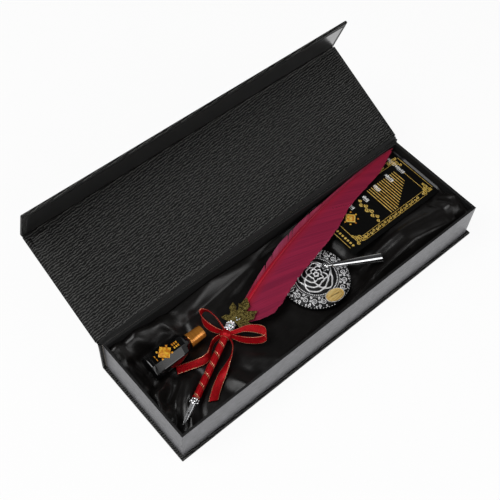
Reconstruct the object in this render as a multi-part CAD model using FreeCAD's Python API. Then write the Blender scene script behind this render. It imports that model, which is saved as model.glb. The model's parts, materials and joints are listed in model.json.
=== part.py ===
# Gift box for a quill pen: a hinged case with a magnet flap, a lined tray and the set that lies in it.
# Millimetres. The origin is the centre of the underside, +X along the box, +Y towards the hinge, +Z up.
import FreeCAD, Part
import math
import os

os.makedirs("parts", exist_ok=True)
V = FreeCAD.Vector
X_AXIS = V(1, 0, 0)
Y_AXIS = V(0, 1, 0)
Z_AXIS = V(0, 0, 1)

# Overrun of every cutting tool, and the gap of a glued or seated round joint
OVERRUN = 5.0
SEAT = 0.05
# Gap between loose things that lie on each other
REST_GAP = 0.3

# Tray and case
TRAY_LENGTH = 330.0
TRAY_DEPTH = 98.5
TRAY_HEIGHT = 37.0
TRAY_BOARD = 1.75
CASE_BOARD = 2.0
PAPER = 0.25
CASE_MARGIN = 2.75
TURN_IN = 24.0
FLAP_TURN_IN = 12.0
LINER_MARGIN = 4.0
RIM_GAP = 0.3
FLAP_GAP = 0.3
HINGE_RISE = 1.5
HINGE_INSET = 1.5
FOLD_GAP = 0.5
FLAP_CLEARANCE = 0.85
LID_OPEN_DEG = 154.0
FLAP_FOLD_DEG = 81.3

# Magnets in the flap and steel keepers in the tray wall
MAGNET_RADIUS = 5.0
MAGNET_THICKNESS = 1.5
KEEPER_THICKNESS = 1.0
MAGNET_SPACING = 220.0
MAGNET_RISE = 14.0

# Padding
FOAM_THICKNESS = 8.0
PAD_GAP = 0.5
SATIN_GAP = 0.4
SATIN_ROOM = 2.65
SATIN_THICKNESS = 5.35
CARD_BED_RISE = 12.6

# Quill pen, measured from the nib's tip along the barrel
NIB_ROOM = 8.45
NIB_FRONT_ROOM = 10.4
TIP_ROOM = 4.0
TIP_BACK_ROOM = 2.4
NIB_LENGTH = 18.5
NIB_RADIUS = 2.3
NIB_WALL = 0.35
NIB_SLIT = 0.2
NIB_EYE_RADIUS = 0.6
COLLAR_LENGTH = 5.0
COLLAR_RADIUS = 3.2
COLLAR_PETAL_RADIUS = 1.3
COLLAR_PETALS = 6
BARREL_LENGTH = 62.5
BARREL_RADIUS = 2.55
SPIGOT_RADIUS = 1.2
SPIGOT_LENGTH = 8.0
RIBBON_WIDTH = 9.3
RIBBON_PITCH = 10.0
RIBBON_THICKNESS = 0.45
RIBBON_END_ROOM = 2.7
KNOT_LENGTH = 6.5
KNOT_RADIUS = 5.0
KNOT_ROUND = 1.5
FERRULE_LENGTH = 9.0
FERRULE_RADIUS = 3.6
FERRULE_BAND = 0.6
FERRULE_BANDS = 3
SHAFT_RADIUS = 1.9
SHAFT_TIP_RADIUS = 0.5
SHAFT_SEAT = 7.5
QUILL_BEND_DEG = 6.5
RACHIS_RADIUS = 636.0
VANE_THICKNESS = 0.8
VANE_GAP = 0.25
WIDE_VANE = 26.5
NARROW_VANE = 6.0
LEAF_LENGTH = 27.0
LEAF_WIDTH = 28.0
LEAF_THICKNESS = 1.0
LEAF_TURN_DEG = -8.0
BOW_LOOP_LENGTH = 25.0
BOW_LOOP_WIDTH = 10.0
BOW_HEIGHT = 8.5
BOW_RIBBON = 0.8
BOW_LEFT_DEG = 70.0
BOW_RIGHT_DEG = -57.0
TAIL_WIDTH = 8.0
TAIL_THICKNESS = 0.7
TAIL_DROP = 4.4
LEFT_TAIL = (39.0, 14.0)
RIGHT_TAIL = (52.0, 5.0)
TAIL_SAG = 7.0

# Ink bottle, measured from its base along its axis
BOTTLE_FLATS = 19.6
BOTTLE_SIDES = 8
BOTTLE_BODY = 33.0
BOTTLE_SHOULDER = 6.0
BOTTLE_EDGE = 1.2
BOTTLE_WALL = 1.6
BOTTLE_FLOOR = 2.0
NECK_RADIUS = 4.6
NECK_BORE = 3.3
NECK_LENGTH = 9.5
BOTTLE_BOW_ROOM = 13.35
BOTTLE_TAIL_ROOM = 8.75
LABEL_THICKNESS = 0.12
LABEL_MARGIN = 4.0
CAP_RADIUS = 6.0
CAP_TOP_RADIUS = 5.4
CAP_LENGTH = 14.5
CAP_EDGE = 0.5
CAP_GAP = 0.3
WAD_THICKNESS = 1.2

# Pen stand, measured from the middle of its underside
STAND_RADIUS = 30.0
STAND_CARD_ROOM = 7.5
STAND_FRONT_ROOM = 12.0
FELT_RADIUS = 28.0
FELT_THICKNESS = 0.8
STAND_RIM = 4.6
STAND_CREST = 5.6
STAND_CREST_RADIUS = 20.5
STAND_WELL = 4.2
WELL_RADIUS = 17.0
STAND_FOOT = 0.8
BEAD_RING_RADIUS = 18.4
BEAD_RADIUS = 0.9
ROSE_RADIUS = 16.4
ROSE_HEIGHT = 6.0
PETALS = 5
PLAQUE_LENGTH = 15.6
PLAQUE_WIDTH = 10.4
PLAQUE_THICKNESS = 0.9
PLAQUE_RADIUS = 24.9
SOCKET_OFFSET = 11.0
SOCKET_RADIUS = 3.6
BALL_RADIUS = 2.4
BALL_GAP = 0.3
BALL_HEIGHT = 11.3
STEM_RADIUS = 1.1
STEM_LENGTH = 9.5
FUNNEL_START = 5.4
FUNNEL_LENGTH = 46.0
FUNNEL_ROOT_RADIUS = 1.7
FUNNEL_MID_RADIUS = 3.4
FUNNEL_MOUTH_RADIUS = 4.2
FUNNEL_BORE = 2.9
FUNNEL_BORE_DEPTH = 24.0
FUNNEL_SLANT = 3.0
FUNNEL_YAW_DEG = -28.0

# Card
CARD_LENGTH = 108.0
CARD_WIDTH = 57.5
CARD_THICKNESS = 0.5
CARD_END_ROOM = 3.0
CARD_BACK_ROOM = 2.2
CARD_OVERHANG = 9.0

# Outline of the wide and narrow vanes: share of the quill, share of the vane's width
WIDE_VANE_SHARES = [(0.045, 0.40), (0.075, 0.80), (0.12, 0.98), (0.22, 1.0), (0.36, 1.0), (0.50, 1.0),
                    (0.60, 0.84), (0.68, 0.66), (0.80, 0.62), (0.88, 0.50), (0.94, 0.32), (0.98, 0.13)]
NARROW_VANE_SHARES = [(0.08, 0.15), (0.16, 0.42), (0.26, 0.72), (0.37, 1.0), (0.46, 0.80), (0.56, 0.62),
                      (0.70, 0.38), (0.84, 0.30), (0.94, 0.20), (0.98, 0.08)]
# One half of a maple leaf: share of its length from the stem, share of half its width
LEAF_SHARES = [(0.0, 0.05), (0.13, 0.08), (0.02, 0.36), (0.14, 0.40), (0.13, 0.72), (0.24, 0.66), (0.42, 1.0),
               (0.46, 0.78), (0.60, 0.74), (0.52, 0.50), (0.50, 0.26), (0.68, 0.36), (0.72, 0.24),
               (0.84, 0.22)]
# Rose layers: share of its radius, share of a petal's radius, share of its height, turn in petals
ROSE_SHARES = [(0.55, 0.45, 0.30, 0.0), (0.42, 0.36, 0.55, 0.5), (0.27, 0.27, 0.78, 0.2),
               (0.13, 0.17, 1.0, 0.7)]
# Satin along the box: a zone between two landmarks and the share of the way through it, then shares of the
# head room at the back wall, of the card bed's rise at the bed's back and front, and of the head room at the
# front wall, then shares of the way from what lies there to the back and the front wall, and what lies there
SATIN_SHARES = [
    (0, 0.0, 0.56, 0.76, 0.31, 0.38, 0.21, 0.0, "pen"),
    (0, 0.53, 0.62, 0.70, 0.14, 0.30, 0.29, 0.08, "pen"),
    (1, 0.0, 0.48, 0.0, 0.0, 0.24, 0.25, 0.24, "pen"),
    (1, 0.15, 0.52, 0.0, 0.0, 0.20, 0.29, 0.24, "pen"),
    (1, 0.39, 0.36, 0.0, 0.0, 0.26, 0.38, 0.24, "pen"),
    (1, 0.63, 0.42, 0.0, 0.0, 0.22, 0.50, 0.24, "pen"),
    (1, 0.97, 0.30, 0.0, 0.0, 0.34, 0.66, 0.20, "stand"),
    (2, 0.59, 0.28, 0.0, 0.0, 0.28, 0.79, 0.15, "stand"),
    (3, 0.27, 0.34, 0.0, 0.0, 0.30, 0.83, 0.04, "stand"),
    (4, 0.025, 0.57, 1.0, 0.17, 0.16, 0.25, 0.20, "card"),
    (4, 0.155, 0.58, 1.0, 0.38, 0.22, 0.25, 0.13, "card"),
    (4, 0.37, 0.58, 1.0, 0.90, 0.56, 0.25, 0.13, "card"),
    (4, 0.80, 0.60, 1.0, 1.0, 0.50, 0.25, 0.13, "card"),
    (5, 0.06, 0.62, 1.0, 1.0, 0.62, 0.25, 0.13, "card"),
    (5, 1.0, 0.66, 1.14, 1.14, 0.70, 0.25, 0.13, "card")]
FOLD_PUFF_SHARE = 0.1
MIDDLE_SHARE = 0.5
# The nib's outline: where its shoulders and its eye lie along it, and how full the taper is
NIB_SHOULDER_SHARE = 0.62
NIB_TAPER_SHARES = (0.3, 0.62)
NIB_EYE_SHARE = 0.55
NIB_PLUG_SHARE = 0.7
# Where a bow loop is widest, how full the stand's rim is and the rose's core
LOOP_BULGE_SHARE = 0.66
RIM_BULGE_SHARE = 0.7
ROSE_CORE_SHARES = (0.6, 0.3)
# Loft sections along the quill, and points on a turn where the ribbon's gap is measured
QUILL_STATIONS = 12
RIBBON_STEPS = 72

# Heights and faces that several pieces share
base_top = CASE_BOARD + 2 * PAPER
rim_z = base_top + TRAY_HEIGHT
half_x = TRAY_LENGTH / 2
half_y = TRAY_DEPTH / 2
wall = TRAY_BOARD + 2 * PAPER
inner_x = half_x - wall
inner_y = half_y - wall
case_x = half_x + CASE_MARGIN
panel = CASE_BOARD + 3 * PAPER
front_y = -half_y - FLAP_GAP - panel
spine_y = half_y + CASE_BOARD + PAPER
floor_top = base_top + TRAY_BOARD
pad_top = floor_top + FOAM_THICKNESS
bed_z = pad_top + SATIN_THICKNESS
card_bed_z = bed_z + CARD_BED_RISE
hinge = V(0, spine_y, rim_z + HINGE_RISE)
lid_in = rim_z + RIM_GAP
lid_out = lid_in + panel
lid_back = spine_y - HINGE_INSET
lid_front = front_y + panel + FLAP_GAP
flap_pivot = V(0, front_y, lid_out)
flap_bottom = base_top + FLAP_CLEARANCE
flap_top = lid_out - FOLD_GAP

# Stations along the pen
barrel_start = NIB_LENGTH + COLLAR_LENGTH
barrel_end = barrel_start + BARREL_LENGTH
quill_start = barrel_end + FERRULE_LENGTH
knot_start = barrel_end - KNOT_LENGTH
ribbon_inner = BARREL_RADIUS + SEAT
ribbon_outer = ribbon_inner + RIBBON_THICKNESS
ribbon_turns = (BARREL_LENGTH - KNOT_LENGTH - RIBBON_WIDTH - RIBBON_END_ROOM) / RIBBON_PITCH
knot_middle = knot_start + KNOT_LENGTH / 2
neck_x = BOTTLE_BODY + BOTTLE_SHOULDER

# Where the card, the stand and the felt under it lie
card_corner = V(inner_x - CARD_END_ROOM - CARD_LENGTH, inner_y - CARD_BACK_ROOM - CARD_WIDTH,
                card_bed_z + REST_GAP)
felt_z = bed_z + REST_GAP
stand_x = card_corner.x - STAND_CARD_ROOM - STAND_RADIUS
stand_y = -inner_y + STAND_FRONT_ROOM + STAND_RADIUS
stand_place = FreeCAD.Placement(V(stand_x, stand_y, felt_z + FELT_THICKNESS), FreeCAD.Rotation())


def block(x0, x1, y0, y1, z0, z1):
    return Part.makeBox(x1 - x0, y1 - y0, z1 - z0, V(x0, y0, z0))


def rod(radius, length, start, axis=X_AXIS):
    return Part.makeCylinder(radius, length, start, axis)


def plate(points, thickness, z0):
    """A flat plate from plan points, upwards from z0."""
    corners = [V(x, y, z0) for x, y in points]
    return Part.Face(Part.makePolygon(corners + corners[:1])).extrude(V(0, 0, thickness))


def revolve_x(points):
    """A solid of revolution about X from points given as along, radius."""
    corners = [V(a, r, 0) for a, r in points]
    return Part.Face(Part.makePolygon(corners + corners[:1])).revolve(V(0, 0, 0), X_AXIS, 360)


def moved(shape, placement):
    shape = shape.copy()
    shape.Placement = placement.multiply(shape.Placement)
    return shape


def turned(shape, centre, axis, degrees):
    shape = shape.copy()
    shape.rotate(centre, axis, degrees)
    return shape


def save(name, shape):
    if not shape.isValid():
        raise ValueError(name + " is not a valid shape")
    shape.exportStep("parts/" + name + ".step")
    print(name, "solids", len(shape.Solids), "volume", round(shape.Volume, 1))


def with_lid(shape):
    """A piece drawn on the closed lid, swung open."""
    return turned(shape, hinge, -X_AXIS, LID_OPEN_DEG)


def with_flap(shape):
    """A piece drawn on the closed flap, unfolded a little and swung open with the lid."""
    return with_lid(turned(shape, flap_pivot, -X_AXIS, 90 - FLAP_FOLD_DEG))


def wrapped(outer, board, window):
    """Paper round a board, open in a window inside its turned-in edges."""
    return outer.cut(board).cut(window)


def build_base():
    board = block(-case_x + PAPER, case_x - PAPER, front_y + PAPER, spine_y - PAPER,
                  PAPER, PAPER + CASE_BOARD)
    outer = block(-case_x, case_x, front_y, spine_y, 0, base_top)
    window = block(-case_x + TURN_IN, case_x - TURN_IN, front_y + TURN_IN, spine_y - TURN_IN,
                   PAPER + CASE_BOARD, base_top + OVERRUN)
    save("base_board", board)
    save("base_wrap", wrapped(outer, board, window))


def build_spine():
    board = block(-case_x + PAPER, case_x - PAPER, half_y, spine_y - PAPER, base_top, rim_z)
    outer = block(-case_x, case_x, half_y, spine_y, base_top, rim_z)
    tab = block(-case_x, case_x, spine_y - PAPER, spine_y, rim_z, hinge.z - FOLD_GAP)
    save("spine_board", board)
    save("spine_wrap", outer.cut(board).fuse(tab).removeSplitter())


def hinge_tab():
    """The lid wrap's slanting edge that reaches for the fold at the spine."""
    reach = V(0, lid_back - hinge.y, lid_out - hinge.z)
    along = V(reach)
    along.normalize()
    inward = V(0, -along.z, along.y) * PAPER
    near = hinge + along * FOLD_GAP
    far = hinge + reach
    corners = [near, far, far + inward, near + inward, near]
    face = Part.Face(Part.makePolygon([p - X_AXIS * case_x for p in corners]))
    return face.extrude(X_AXIS * (2 * case_x))


def build_lid():
    z_board = lid_in + 2 * PAPER
    board = block(-case_x + PAPER, case_x - PAPER, lid_front + PAPER, lid_back - PAPER,
                  z_board, z_board + CASE_BOARD)
    outer = block(-case_x, case_x, lid_front, lid_back, lid_in + PAPER, lid_out)
    window = block(-case_x + TURN_IN, case_x - TURN_IN, lid_front + TURN_IN, lid_back - TURN_IN,
                   lid_in - OVERRUN, z_board)
    flap_tab = block(-case_x, case_x, front_y + FOLD_GAP, lid_front, lid_out - PAPER, lid_out)
    wrap = wrapped(outer, board, window).fuse([flap_tab, hinge_tab()]).removeSplitter()
    liner = block(-case_x + LINER_MARGIN, case_x - LINER_MARGIN, lid_front + LINER_MARGIN,
                  lid_back - LINER_MARGIN, lid_in, lid_in + PAPER)
    save("lid_board", with_lid(board))
    save("lid_wrap", with_lid(wrap))
    save("lid_liner", with_lid(liner))


def magnet_pair(radius, thickness, y_face):
    """Two discs along Y that end at y_face."""
    at = [V(side * MAGNET_SPACING / 2, y_face - thickness, flap_bottom + MAGNET_RISE) for side in (-1, 1)]
    return Part.makeCompound([rod(radius, thickness, place, Y_AXIS) for place in at])


def build_flap():
    y_board = front_y + PAPER
    board_in = y_board + CASE_BOARD
    board = block(-case_x + PAPER, case_x - PAPER, y_board, board_in, flap_bottom + PAPER, flap_top - PAPER)
    outer = block(-case_x, case_x, front_y, front_y + panel - PAPER, flap_bottom, flap_top)
    window = block(-case_x + FLAP_TURN_IN, case_x - FLAP_TURN_IN, board_in, front_y + panel + OVERRUN,
                   flap_bottom + FLAP_TURN_IN, flap_top - FLAP_TURN_IN)
    liner = block(-case_x + LINER_MARGIN, case_x - LINER_MARGIN, front_y + panel - PAPER, front_y + panel,
                  flap_bottom + LINER_MARGIN, flap_top - LINER_MARGIN)
    pockets = magnet_pair(MAGNET_RADIUS + SEAT, MAGNET_THICKNESS, board_in)
    save("flap_board", with_flap(board.cut(pockets)))
    save("flap_wrap", with_flap(wrapped(outer, board, window)))
    save("flap_liner", with_flap(liner))
    save("flap_magnets", with_flap(magnet_pair(MAGNET_RADIUS, MAGNET_THICKNESS, board_in)))


def build_tray():
    board_x = half_x - PAPER
    board_y = half_y - PAPER
    top = rim_z - PAPER
    front = block(-board_x, board_x, -board_y, -board_y + TRAY_BOARD, base_top, top)
    back = block(-board_x, board_x, board_y - TRAY_BOARD, board_y, base_top, top)
    left = block(-board_x, -board_x + TRAY_BOARD, -board_y + TRAY_BOARD, board_y - TRAY_BOARD, base_top, top)
    right = block(board_x - TRAY_BOARD, board_x, -board_y + TRAY_BOARD, board_y - TRAY_BOARD, base_top, top)
    floor_x = board_x - TRAY_BOARD
    floor_y = board_y - TRAY_BOARD
    floor = block(-floor_x, floor_x, -floor_y, floor_y, base_top, floor_top)
    keeper_face = -board_y + KEEPER_THICKNESS
    pockets = magnet_pair(MAGNET_RADIUS + SEAT, KEEPER_THICKNESS, keeper_face)
    sleeve = block(-half_x, half_x, -half_y, half_y, base_top, top)
    sleeve = sleeve.cut(block(-board_x, board_x, -board_y, board_y, base_top - OVERRUN, top + OVERRUN))
    lining = block(-half_x, half_x, -half_y, half_y, top, rim_z)
    lining = lining.fuse(block(-floor_x, floor_x, -floor_y, floor_y, floor_top, top))
    lining = lining.cut(block(-inner_x, inner_x, -inner_y, inner_y, floor_top - OVERRUN, rim_z + OVERRUN))
    save("tray_front_wall", front.cut(pockets))
    save("tray_back_wall", back)
    save("tray_left_wall", left)
    save("tray_right_wall", right)
    save("tray_floor", floor)
    save("tray_keepers", magnet_pair(MAGNET_RADIUS, KEEPER_THICKNESS, keeper_face))
    save("tray_wrap", sleeve)
    save("tray_lining", lining.removeSplitter())


def satin_section(row):
    """One closed outline across the tray: two sides, a level bed and a puffed fold at each wall."""
    zone, way, back, bed_back, bed_front, front, back_room, front_room, beside = row
    end_x = inner_x - SATIN_GAP
    half = inner_y - SATIN_GAP
    head = rim_z - bed_z
    landmarks = [-end_x, bottle_place.Base.x - SATIN_ROOM, stand_x - STAND_RADIUS, stand_x + STAND_RADIUS,
                 card_corner.x + CARD_OVERHANG, card_corner.x + CARD_LENGTH, end_x]
    x = landmarks[zone] + way * (landmarks[zone + 1] - landmarks[zone])
    lying_back = {"card": card_corner.y + CARD_WIDTH}.get(beside, bottle_place.Base.y + BOTTLE_FLATS / 2)
    lying_front = {"card": card_corner.y, "stand": stand_y - STAND_RADIUS, "pen": pen_front_y}[beside]
    back_y = lying_back + back_room * (half - lying_back)
    front_y_foot = lying_front - front_room * (half + lying_front)
    back_puff = V(0, 0, FOLD_PUFF_SHARE * (half - back_y))
    front_puff = V(0, 0, FOLD_PUFF_SHARE * (half + front_y_foot))
    low_back = V(x, half, pad_top)
    top_back = V(x, half, bed_z + back * head)
    foot_back = V(x, back_y, bed_z + bed_back * CARD_BED_RISE)
    foot_front = V(x, front_y_foot, bed_z + bed_front * CARD_BED_RISE)
    top_front = V(x, -half, bed_z + front * head)
    low_front = V(x, -half, pad_top)
    edges = [Part.LineSegment(low_back, top_back).toShape(),
             Part.Arc(top_back, (top_back + foot_back) * MIDDLE_SHARE + back_puff, foot_back).toShape(),
             Part.LineSegment(foot_back, foot_front).toShape(),
             Part.Arc(foot_front, (foot_front + top_front) * MIDDLE_SHARE + front_puff, top_front).toShape(),
             Part.LineSegment(top_front, low_front).toShape(),
             Part.LineSegment(low_front, low_back).toShape()]
    return Part.Wire(edges)


def build_padding():
    pad_x = inner_x - PAD_GAP
    pad_y = inner_y - PAD_GAP
    save("foam_pad", block(-pad_x, pad_x, -pad_y, pad_y, floor_top, pad_top))
    save("satin_lining", Part.makeLoft([satin_section(row) for row in SATIN_SHARES], True, True))


def rachis(share, length):
    """A point of the quill's bent axis in the pen's own plane, and its direction."""
    first = math.radians(QUILL_BEND_DEG)
    angle = first + share * length / RACHIS_RADIUS
    x = quill_start + RACHIS_RADIUS * (math.sin(angle) - math.sin(first))
    y = RACHIS_RADIUS * (math.cos(angle) - math.cos(first))
    return V(x, y, 0), V(math.cos(angle), -math.sin(angle), 0)


def lay_pen():
    """The pen's place and the quill's length: the nib by the near left corner, the tip in the far right one,
    the bend's farthest point by the back wall, and the feather over the rose."""
    nib = V(-inner_x + NIB_ROOM, -inner_y + NIB_FRONT_ROOM, 0)
    reach = V(inner_x - TIP_ROOM, inner_y - TIP_BACK_ROOM, 0) - nib
    bend = math.radians(QUILL_BEND_DEG)
    centre_ahead = quill_start - RACHIS_RADIUS * math.sin(bend)
    centre_aside = RACHIS_RADIUS * math.cos(bend)
    centre_reach = math.hypot(centre_ahead, centre_aside)
    yaw = math.acos((RACHIS_RADIUS - reach.y) / centre_reach) - math.atan2(centre_ahead, centre_aside)
    first = yaw - bend
    last = math.asin(math.sin(first) - (reach.x - quill_start * math.cos(yaw)) / RACHIS_RADIUS)
    length = RACHIS_RADIUS * (first - last)
    to_stand = V(stand_x, stand_y, 0) - nib
    ahead = to_stand.x * math.cos(yaw) + to_stand.y * math.sin(yaw) - NIB_LENGTH
    over_rose = felt_z + FELT_THICKNESS + STAND_WELL + ROSE_HEIGHT + REST_GAP + VANE_THICKNESS / 2
    collar_z = bed_z + REST_GAP + COLLAR_RADIUS + COLLAR_PETAL_RADIUS
    tilt = math.atan((over_rose - collar_z) / ahead)
    turn = FreeCAD.Rotation(Z_AXIS, math.degrees(yaw)).multiply(FreeCAD.Rotation(-Y_AXIS, math.degrees(tilt)))
    nib.z = collar_z - math.sin(tilt) * NIB_LENGTH
    return FreeCAD.Placement(nib, turn), length


def shaft_radius(share):
    return SHAFT_RADIUS + (SHAFT_TIP_RADIUS - SHAFT_RADIUS) * share


def quill_shaft(length):
    """The straight root in the ferrule, and the tapering bent shaft beyond it."""
    wires = []
    for step in range(QUILL_STATIONS + 1):
        share = step / QUILL_STATIONS
        point, along = rachis(share, length)
        wires.append(Part.Wire(Part.makeCircle(shaft_radius(share), point, along)))
    root = rod(SHAFT_RADIUS, SHAFT_SEAT, V(quill_start - SHAFT_SEAT, 0, 0))
    return root.fuse(Part.makeLoft(wires, True, False))


def vane(shares, width, side, length):
    """One side of the feather, as a thin plate beside the shaft."""
    inner = []
    outer = []
    for share, width_share in shares:
        point, along = rachis(share, length)
        across = V(-along.y, along.x, 0) * side
        gap = shaft_radius(share) + VANE_GAP
        inner.append(point + across * gap)
        outer.append(point + across * (gap + width_share * width))
    edge_in = Part.BSplineCurve()
    edge_in.interpolate(inner)
    edge_out = Part.BSplineCurve()
    edge_out.interpolate(outer)
    edges = [edge_in.toShape(), Part.LineSegment(inner[-1], outer[-1]).toShape(), edge_out.toShape(),
             Part.LineSegment(outer[0], inner[0]).toShape()]
    face = Part.Face(Part.Wire(Part.__sortEdges__(edges)))
    face.translate(V(0, 0, -VANE_THICKNESS / 2))
    return face.extrude(V(0, 0, VANE_THICKNESS))


def pen_nib():
    """A pointed half tube with a slit and an eye."""
    reach = NIB_LENGTH + COLLAR_LENGTH
    hollow = rod(NIB_RADIUS - NIB_WALL, reach + OVERRUN, V(-OVERRUN, 0, 0))
    shell = rod(NIB_RADIUS, reach, V(0, 0, 0)).cut(hollow)
    shell = shell.common(block(-OVERRUN, reach, -NIB_RADIUS, NIB_RADIUS, 0, NIB_RADIUS))
    start = V(NIB_LENGTH * NIB_SHOULDER_SHARE, NIB_RADIUS, 0)
    tip = V(0, NIB_SLIT, 0)
    bulge = V(NIB_LENGTH * NIB_TAPER_SHARES[0], NIB_RADIUS * NIB_TAPER_SHARES[1], 0)
    mirror = [V(p.x, -p.y, 0) for p in (tip, bulge, start)]
    back = V(reach, NIB_RADIUS, 0)
    back_right = V(reach, -NIB_RADIUS, 0)
    edges = [Part.LineSegment(back, start).toShape(), Part.Arc(start, bulge, tip).toShape(),
             Part.LineSegment(tip, mirror[0]).toShape(), Part.Arc(*mirror).toShape(),
             Part.LineSegment(mirror[2], back_right).toShape(), Part.LineSegment(back_right, back).toShape()]
    outline = Part.Face(Part.Wire(edges)).extrude(V(0, 0, NIB_RADIUS))
    eye = V(NIB_LENGTH * NIB_EYE_SHARE, 0, 0)
    slit = block(0, eye.x, -NIB_SLIT / 2, NIB_SLIT / 2, 0, NIB_RADIUS)
    return shell.common(outline).cut(slit).cut(rod(NIB_EYE_RADIUS, NIB_RADIUS, eye, Z_AXIS))


def lower_collar():
    """A ring of round petals round the nib's root."""
    ring = rod(COLLAR_RADIUS, COLLAR_LENGTH, V(NIB_LENGTH, 0, 0))
    petals = []
    for count in range(COLLAR_PETALS):
        turn = 2 * math.pi * count / COLLAR_PETALS
        out = V(0, math.cos(turn), math.sin(turn)) * COLLAR_RADIUS
        centre = V(NIB_LENGTH + COLLAR_LENGTH / 4, 0, 0) + out
        petals.append(rod(COLLAR_PETAL_RADIUS, COLLAR_LENGTH / 2, centre))
    return ring.fuse(petals).cut(rod(NIB_RADIUS + SEAT, COLLAR_LENGTH, V(NIB_LENGTH, 0, 0)))


def nib_holder():
    plug = NIB_RADIUS - NIB_WALL - SEAT
    start = NIB_LENGTH * NIB_PLUG_SHARE
    body = rod(plug, barrel_start - start, V(start, 0, 0))
    return body.fuse(rod(SPIGOT_RADIUS, SPIGOT_LENGTH, V(barrel_start, 0, 0)))


def barrel_ribbon():
    """A flat ribbon wound along the barrel, its turns a little apart."""
    helix = Part.makeHelix(RIBBON_PITCH, RIBBON_PITCH * ribbon_turns, ribbon_inner)
    half = RIBBON_WIDTH / 2
    corners = [V(ribbon_inner, 0, -half), V(ribbon_outer, 0, -half),
               V(ribbon_outer, 0, half), V(ribbon_inner, 0, half)]
    band = Part.Wire(helix).makePipeShell([Part.makePolygon(corners + corners[:1])], True, True)
    band.rotate(V(0, 0, 0), Y_AXIS, 90)
    band.translate(V(barrel_start + half + SEAT, 0, 0))
    return band


def ribbon_gap():
    """Least distance between one turn's edge and the next, on points."""
    lead = RIBBON_PITCH / (2 * math.pi)
    turns = [2 * math.pi * i / RIBBON_STEPS for i in range(-RIBBON_STEPS, RIBBON_STEPS)]
    upper = V(ribbon_inner, 0, RIBBON_WIDTH / 2)
    foot = RIBBON_PITCH - RIBBON_WIDTH / 2
    lower = [V(ribbon_inner * math.cos(t), ribbon_inner * math.sin(t), lead * t + foot) for t in turns]
    return min(upper.distanceToPoint(p) for p in lower)


def upper_ferrule():
    """A short tube with raised bands."""
    step = FERRULE_LENGTH / (2 * FERRULE_BANDS + 1)
    bore = SHAFT_RADIUS + SEAT
    points = [(barrel_end, bore), (barrel_end, FERRULE_RADIUS)]
    for count in range(FERRULE_BANDS):
        at = barrel_end + step * (2 * count + 1)
        points += [(at, FERRULE_RADIUS), (at, FERRULE_RADIUS + FERRULE_BAND),
                   (at + step, FERRULE_RADIUS + FERRULE_BAND), (at + step, FERRULE_RADIUS)]
    points += [(quill_start, FERRULE_RADIUS), (quill_start, bore)]
    return revolve_x(points)


def maple_leaf():
    """A flat five-lobed leaf over the quill's root."""
    half = [(LEAF_LENGTH * along, LEAF_WIDTH / 2 * across) for along, across in LEAF_SHARES]
    points = half + [(LEAF_LENGTH, 0)] + [(along, -across) for along, across in reversed(half)]
    leaf = plate(points, LEAF_THICKNESS, SHAFT_RADIUS + REST_GAP)
    leaf.rotate(V(0, 0, 0), Z_AXIS, LEAF_TURN_DEG)
    leaf.translate(V(quill_start + REST_GAP, 0, 0))
    return leaf


def loop_face(length, width):
    """A drop-shaped outline from the origin along X: two arcs and a round end."""
    neck = width / 4
    bulge = length * LOOP_BULGE_SHARE
    end = width / 2
    edges = [Part.LineSegment(V(0, neck / 2, 0), V(0, -neck / 2, 0)).toShape(),
             Part.LineSegment(V(0, -neck / 2, 0), V(bulge, -end, 0)).toShape(),
             Part.Arc(V(bulge, -end, 0), V(length, 0, 0), V(bulge, end, 0)).toShape(),
             Part.LineSegment(V(bulge, end, 0), V(0, neck / 2, 0)).toShape()]
    return Part.Face(Part.Wire(edges))


def bow_loop(degrees):
    """A standing ribbon loop beside the knot."""
    outer = loop_face(BOW_LOOP_LENGTH, BOW_LOOP_WIDTH).extrude(V(0, 0, BOW_HEIGHT))
    hole = loop_face(BOW_LOOP_LENGTH - 3 * BOW_RIBBON, BOW_LOOP_WIDTH - 2 * BOW_RIBBON)
    hole.translate(V(2 * BOW_RIBBON, 0, 0))
    loop = outer.cut(hole.extrude(V(0, 0, BOW_HEIGHT)))
    loop.translate(V(math.hypot(KNOT_RADIUS, KNOT_LENGTH / 2), 0, -BOW_HEIGHT / 3))
    loop.rotate(V(0, 0, 0), Z_AXIS, degrees)
    loop.translate(V(knot_middle, 0, 0))
    return loop


def bow_tail(reach, side):
    """A flat ribbon end that bends away from the knot towards the nib."""
    back, out = reach
    start = V(knot_start, side * KNOT_RADIUS / 2, 0)
    end = V(knot_start - back, side * (KNOT_RADIUS + out), 0)
    middle = (start + end) * MIDDLE_SHARE + V(0, -side * TAIL_SAG / 2, 0)
    shift = V(0, side * TAIL_WIDTH, 0)
    edges = [Part.Arc(start, middle, end).toShape(), Part.LineSegment(end, end + shift).toShape(),
             Part.Arc(end + shift, middle + shift * MIDDLE_SHARE, start + shift * MIDDLE_SHARE).toShape(),
             Part.LineSegment(start + shift * MIDDLE_SHARE, start).toShape()]
    face = Part.Face(Part.Wire(edges))
    face.translate(V(0, 0, -TAIL_DROP))
    return face.extrude(V(0, 0, TAIL_THICKNESS))


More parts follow.
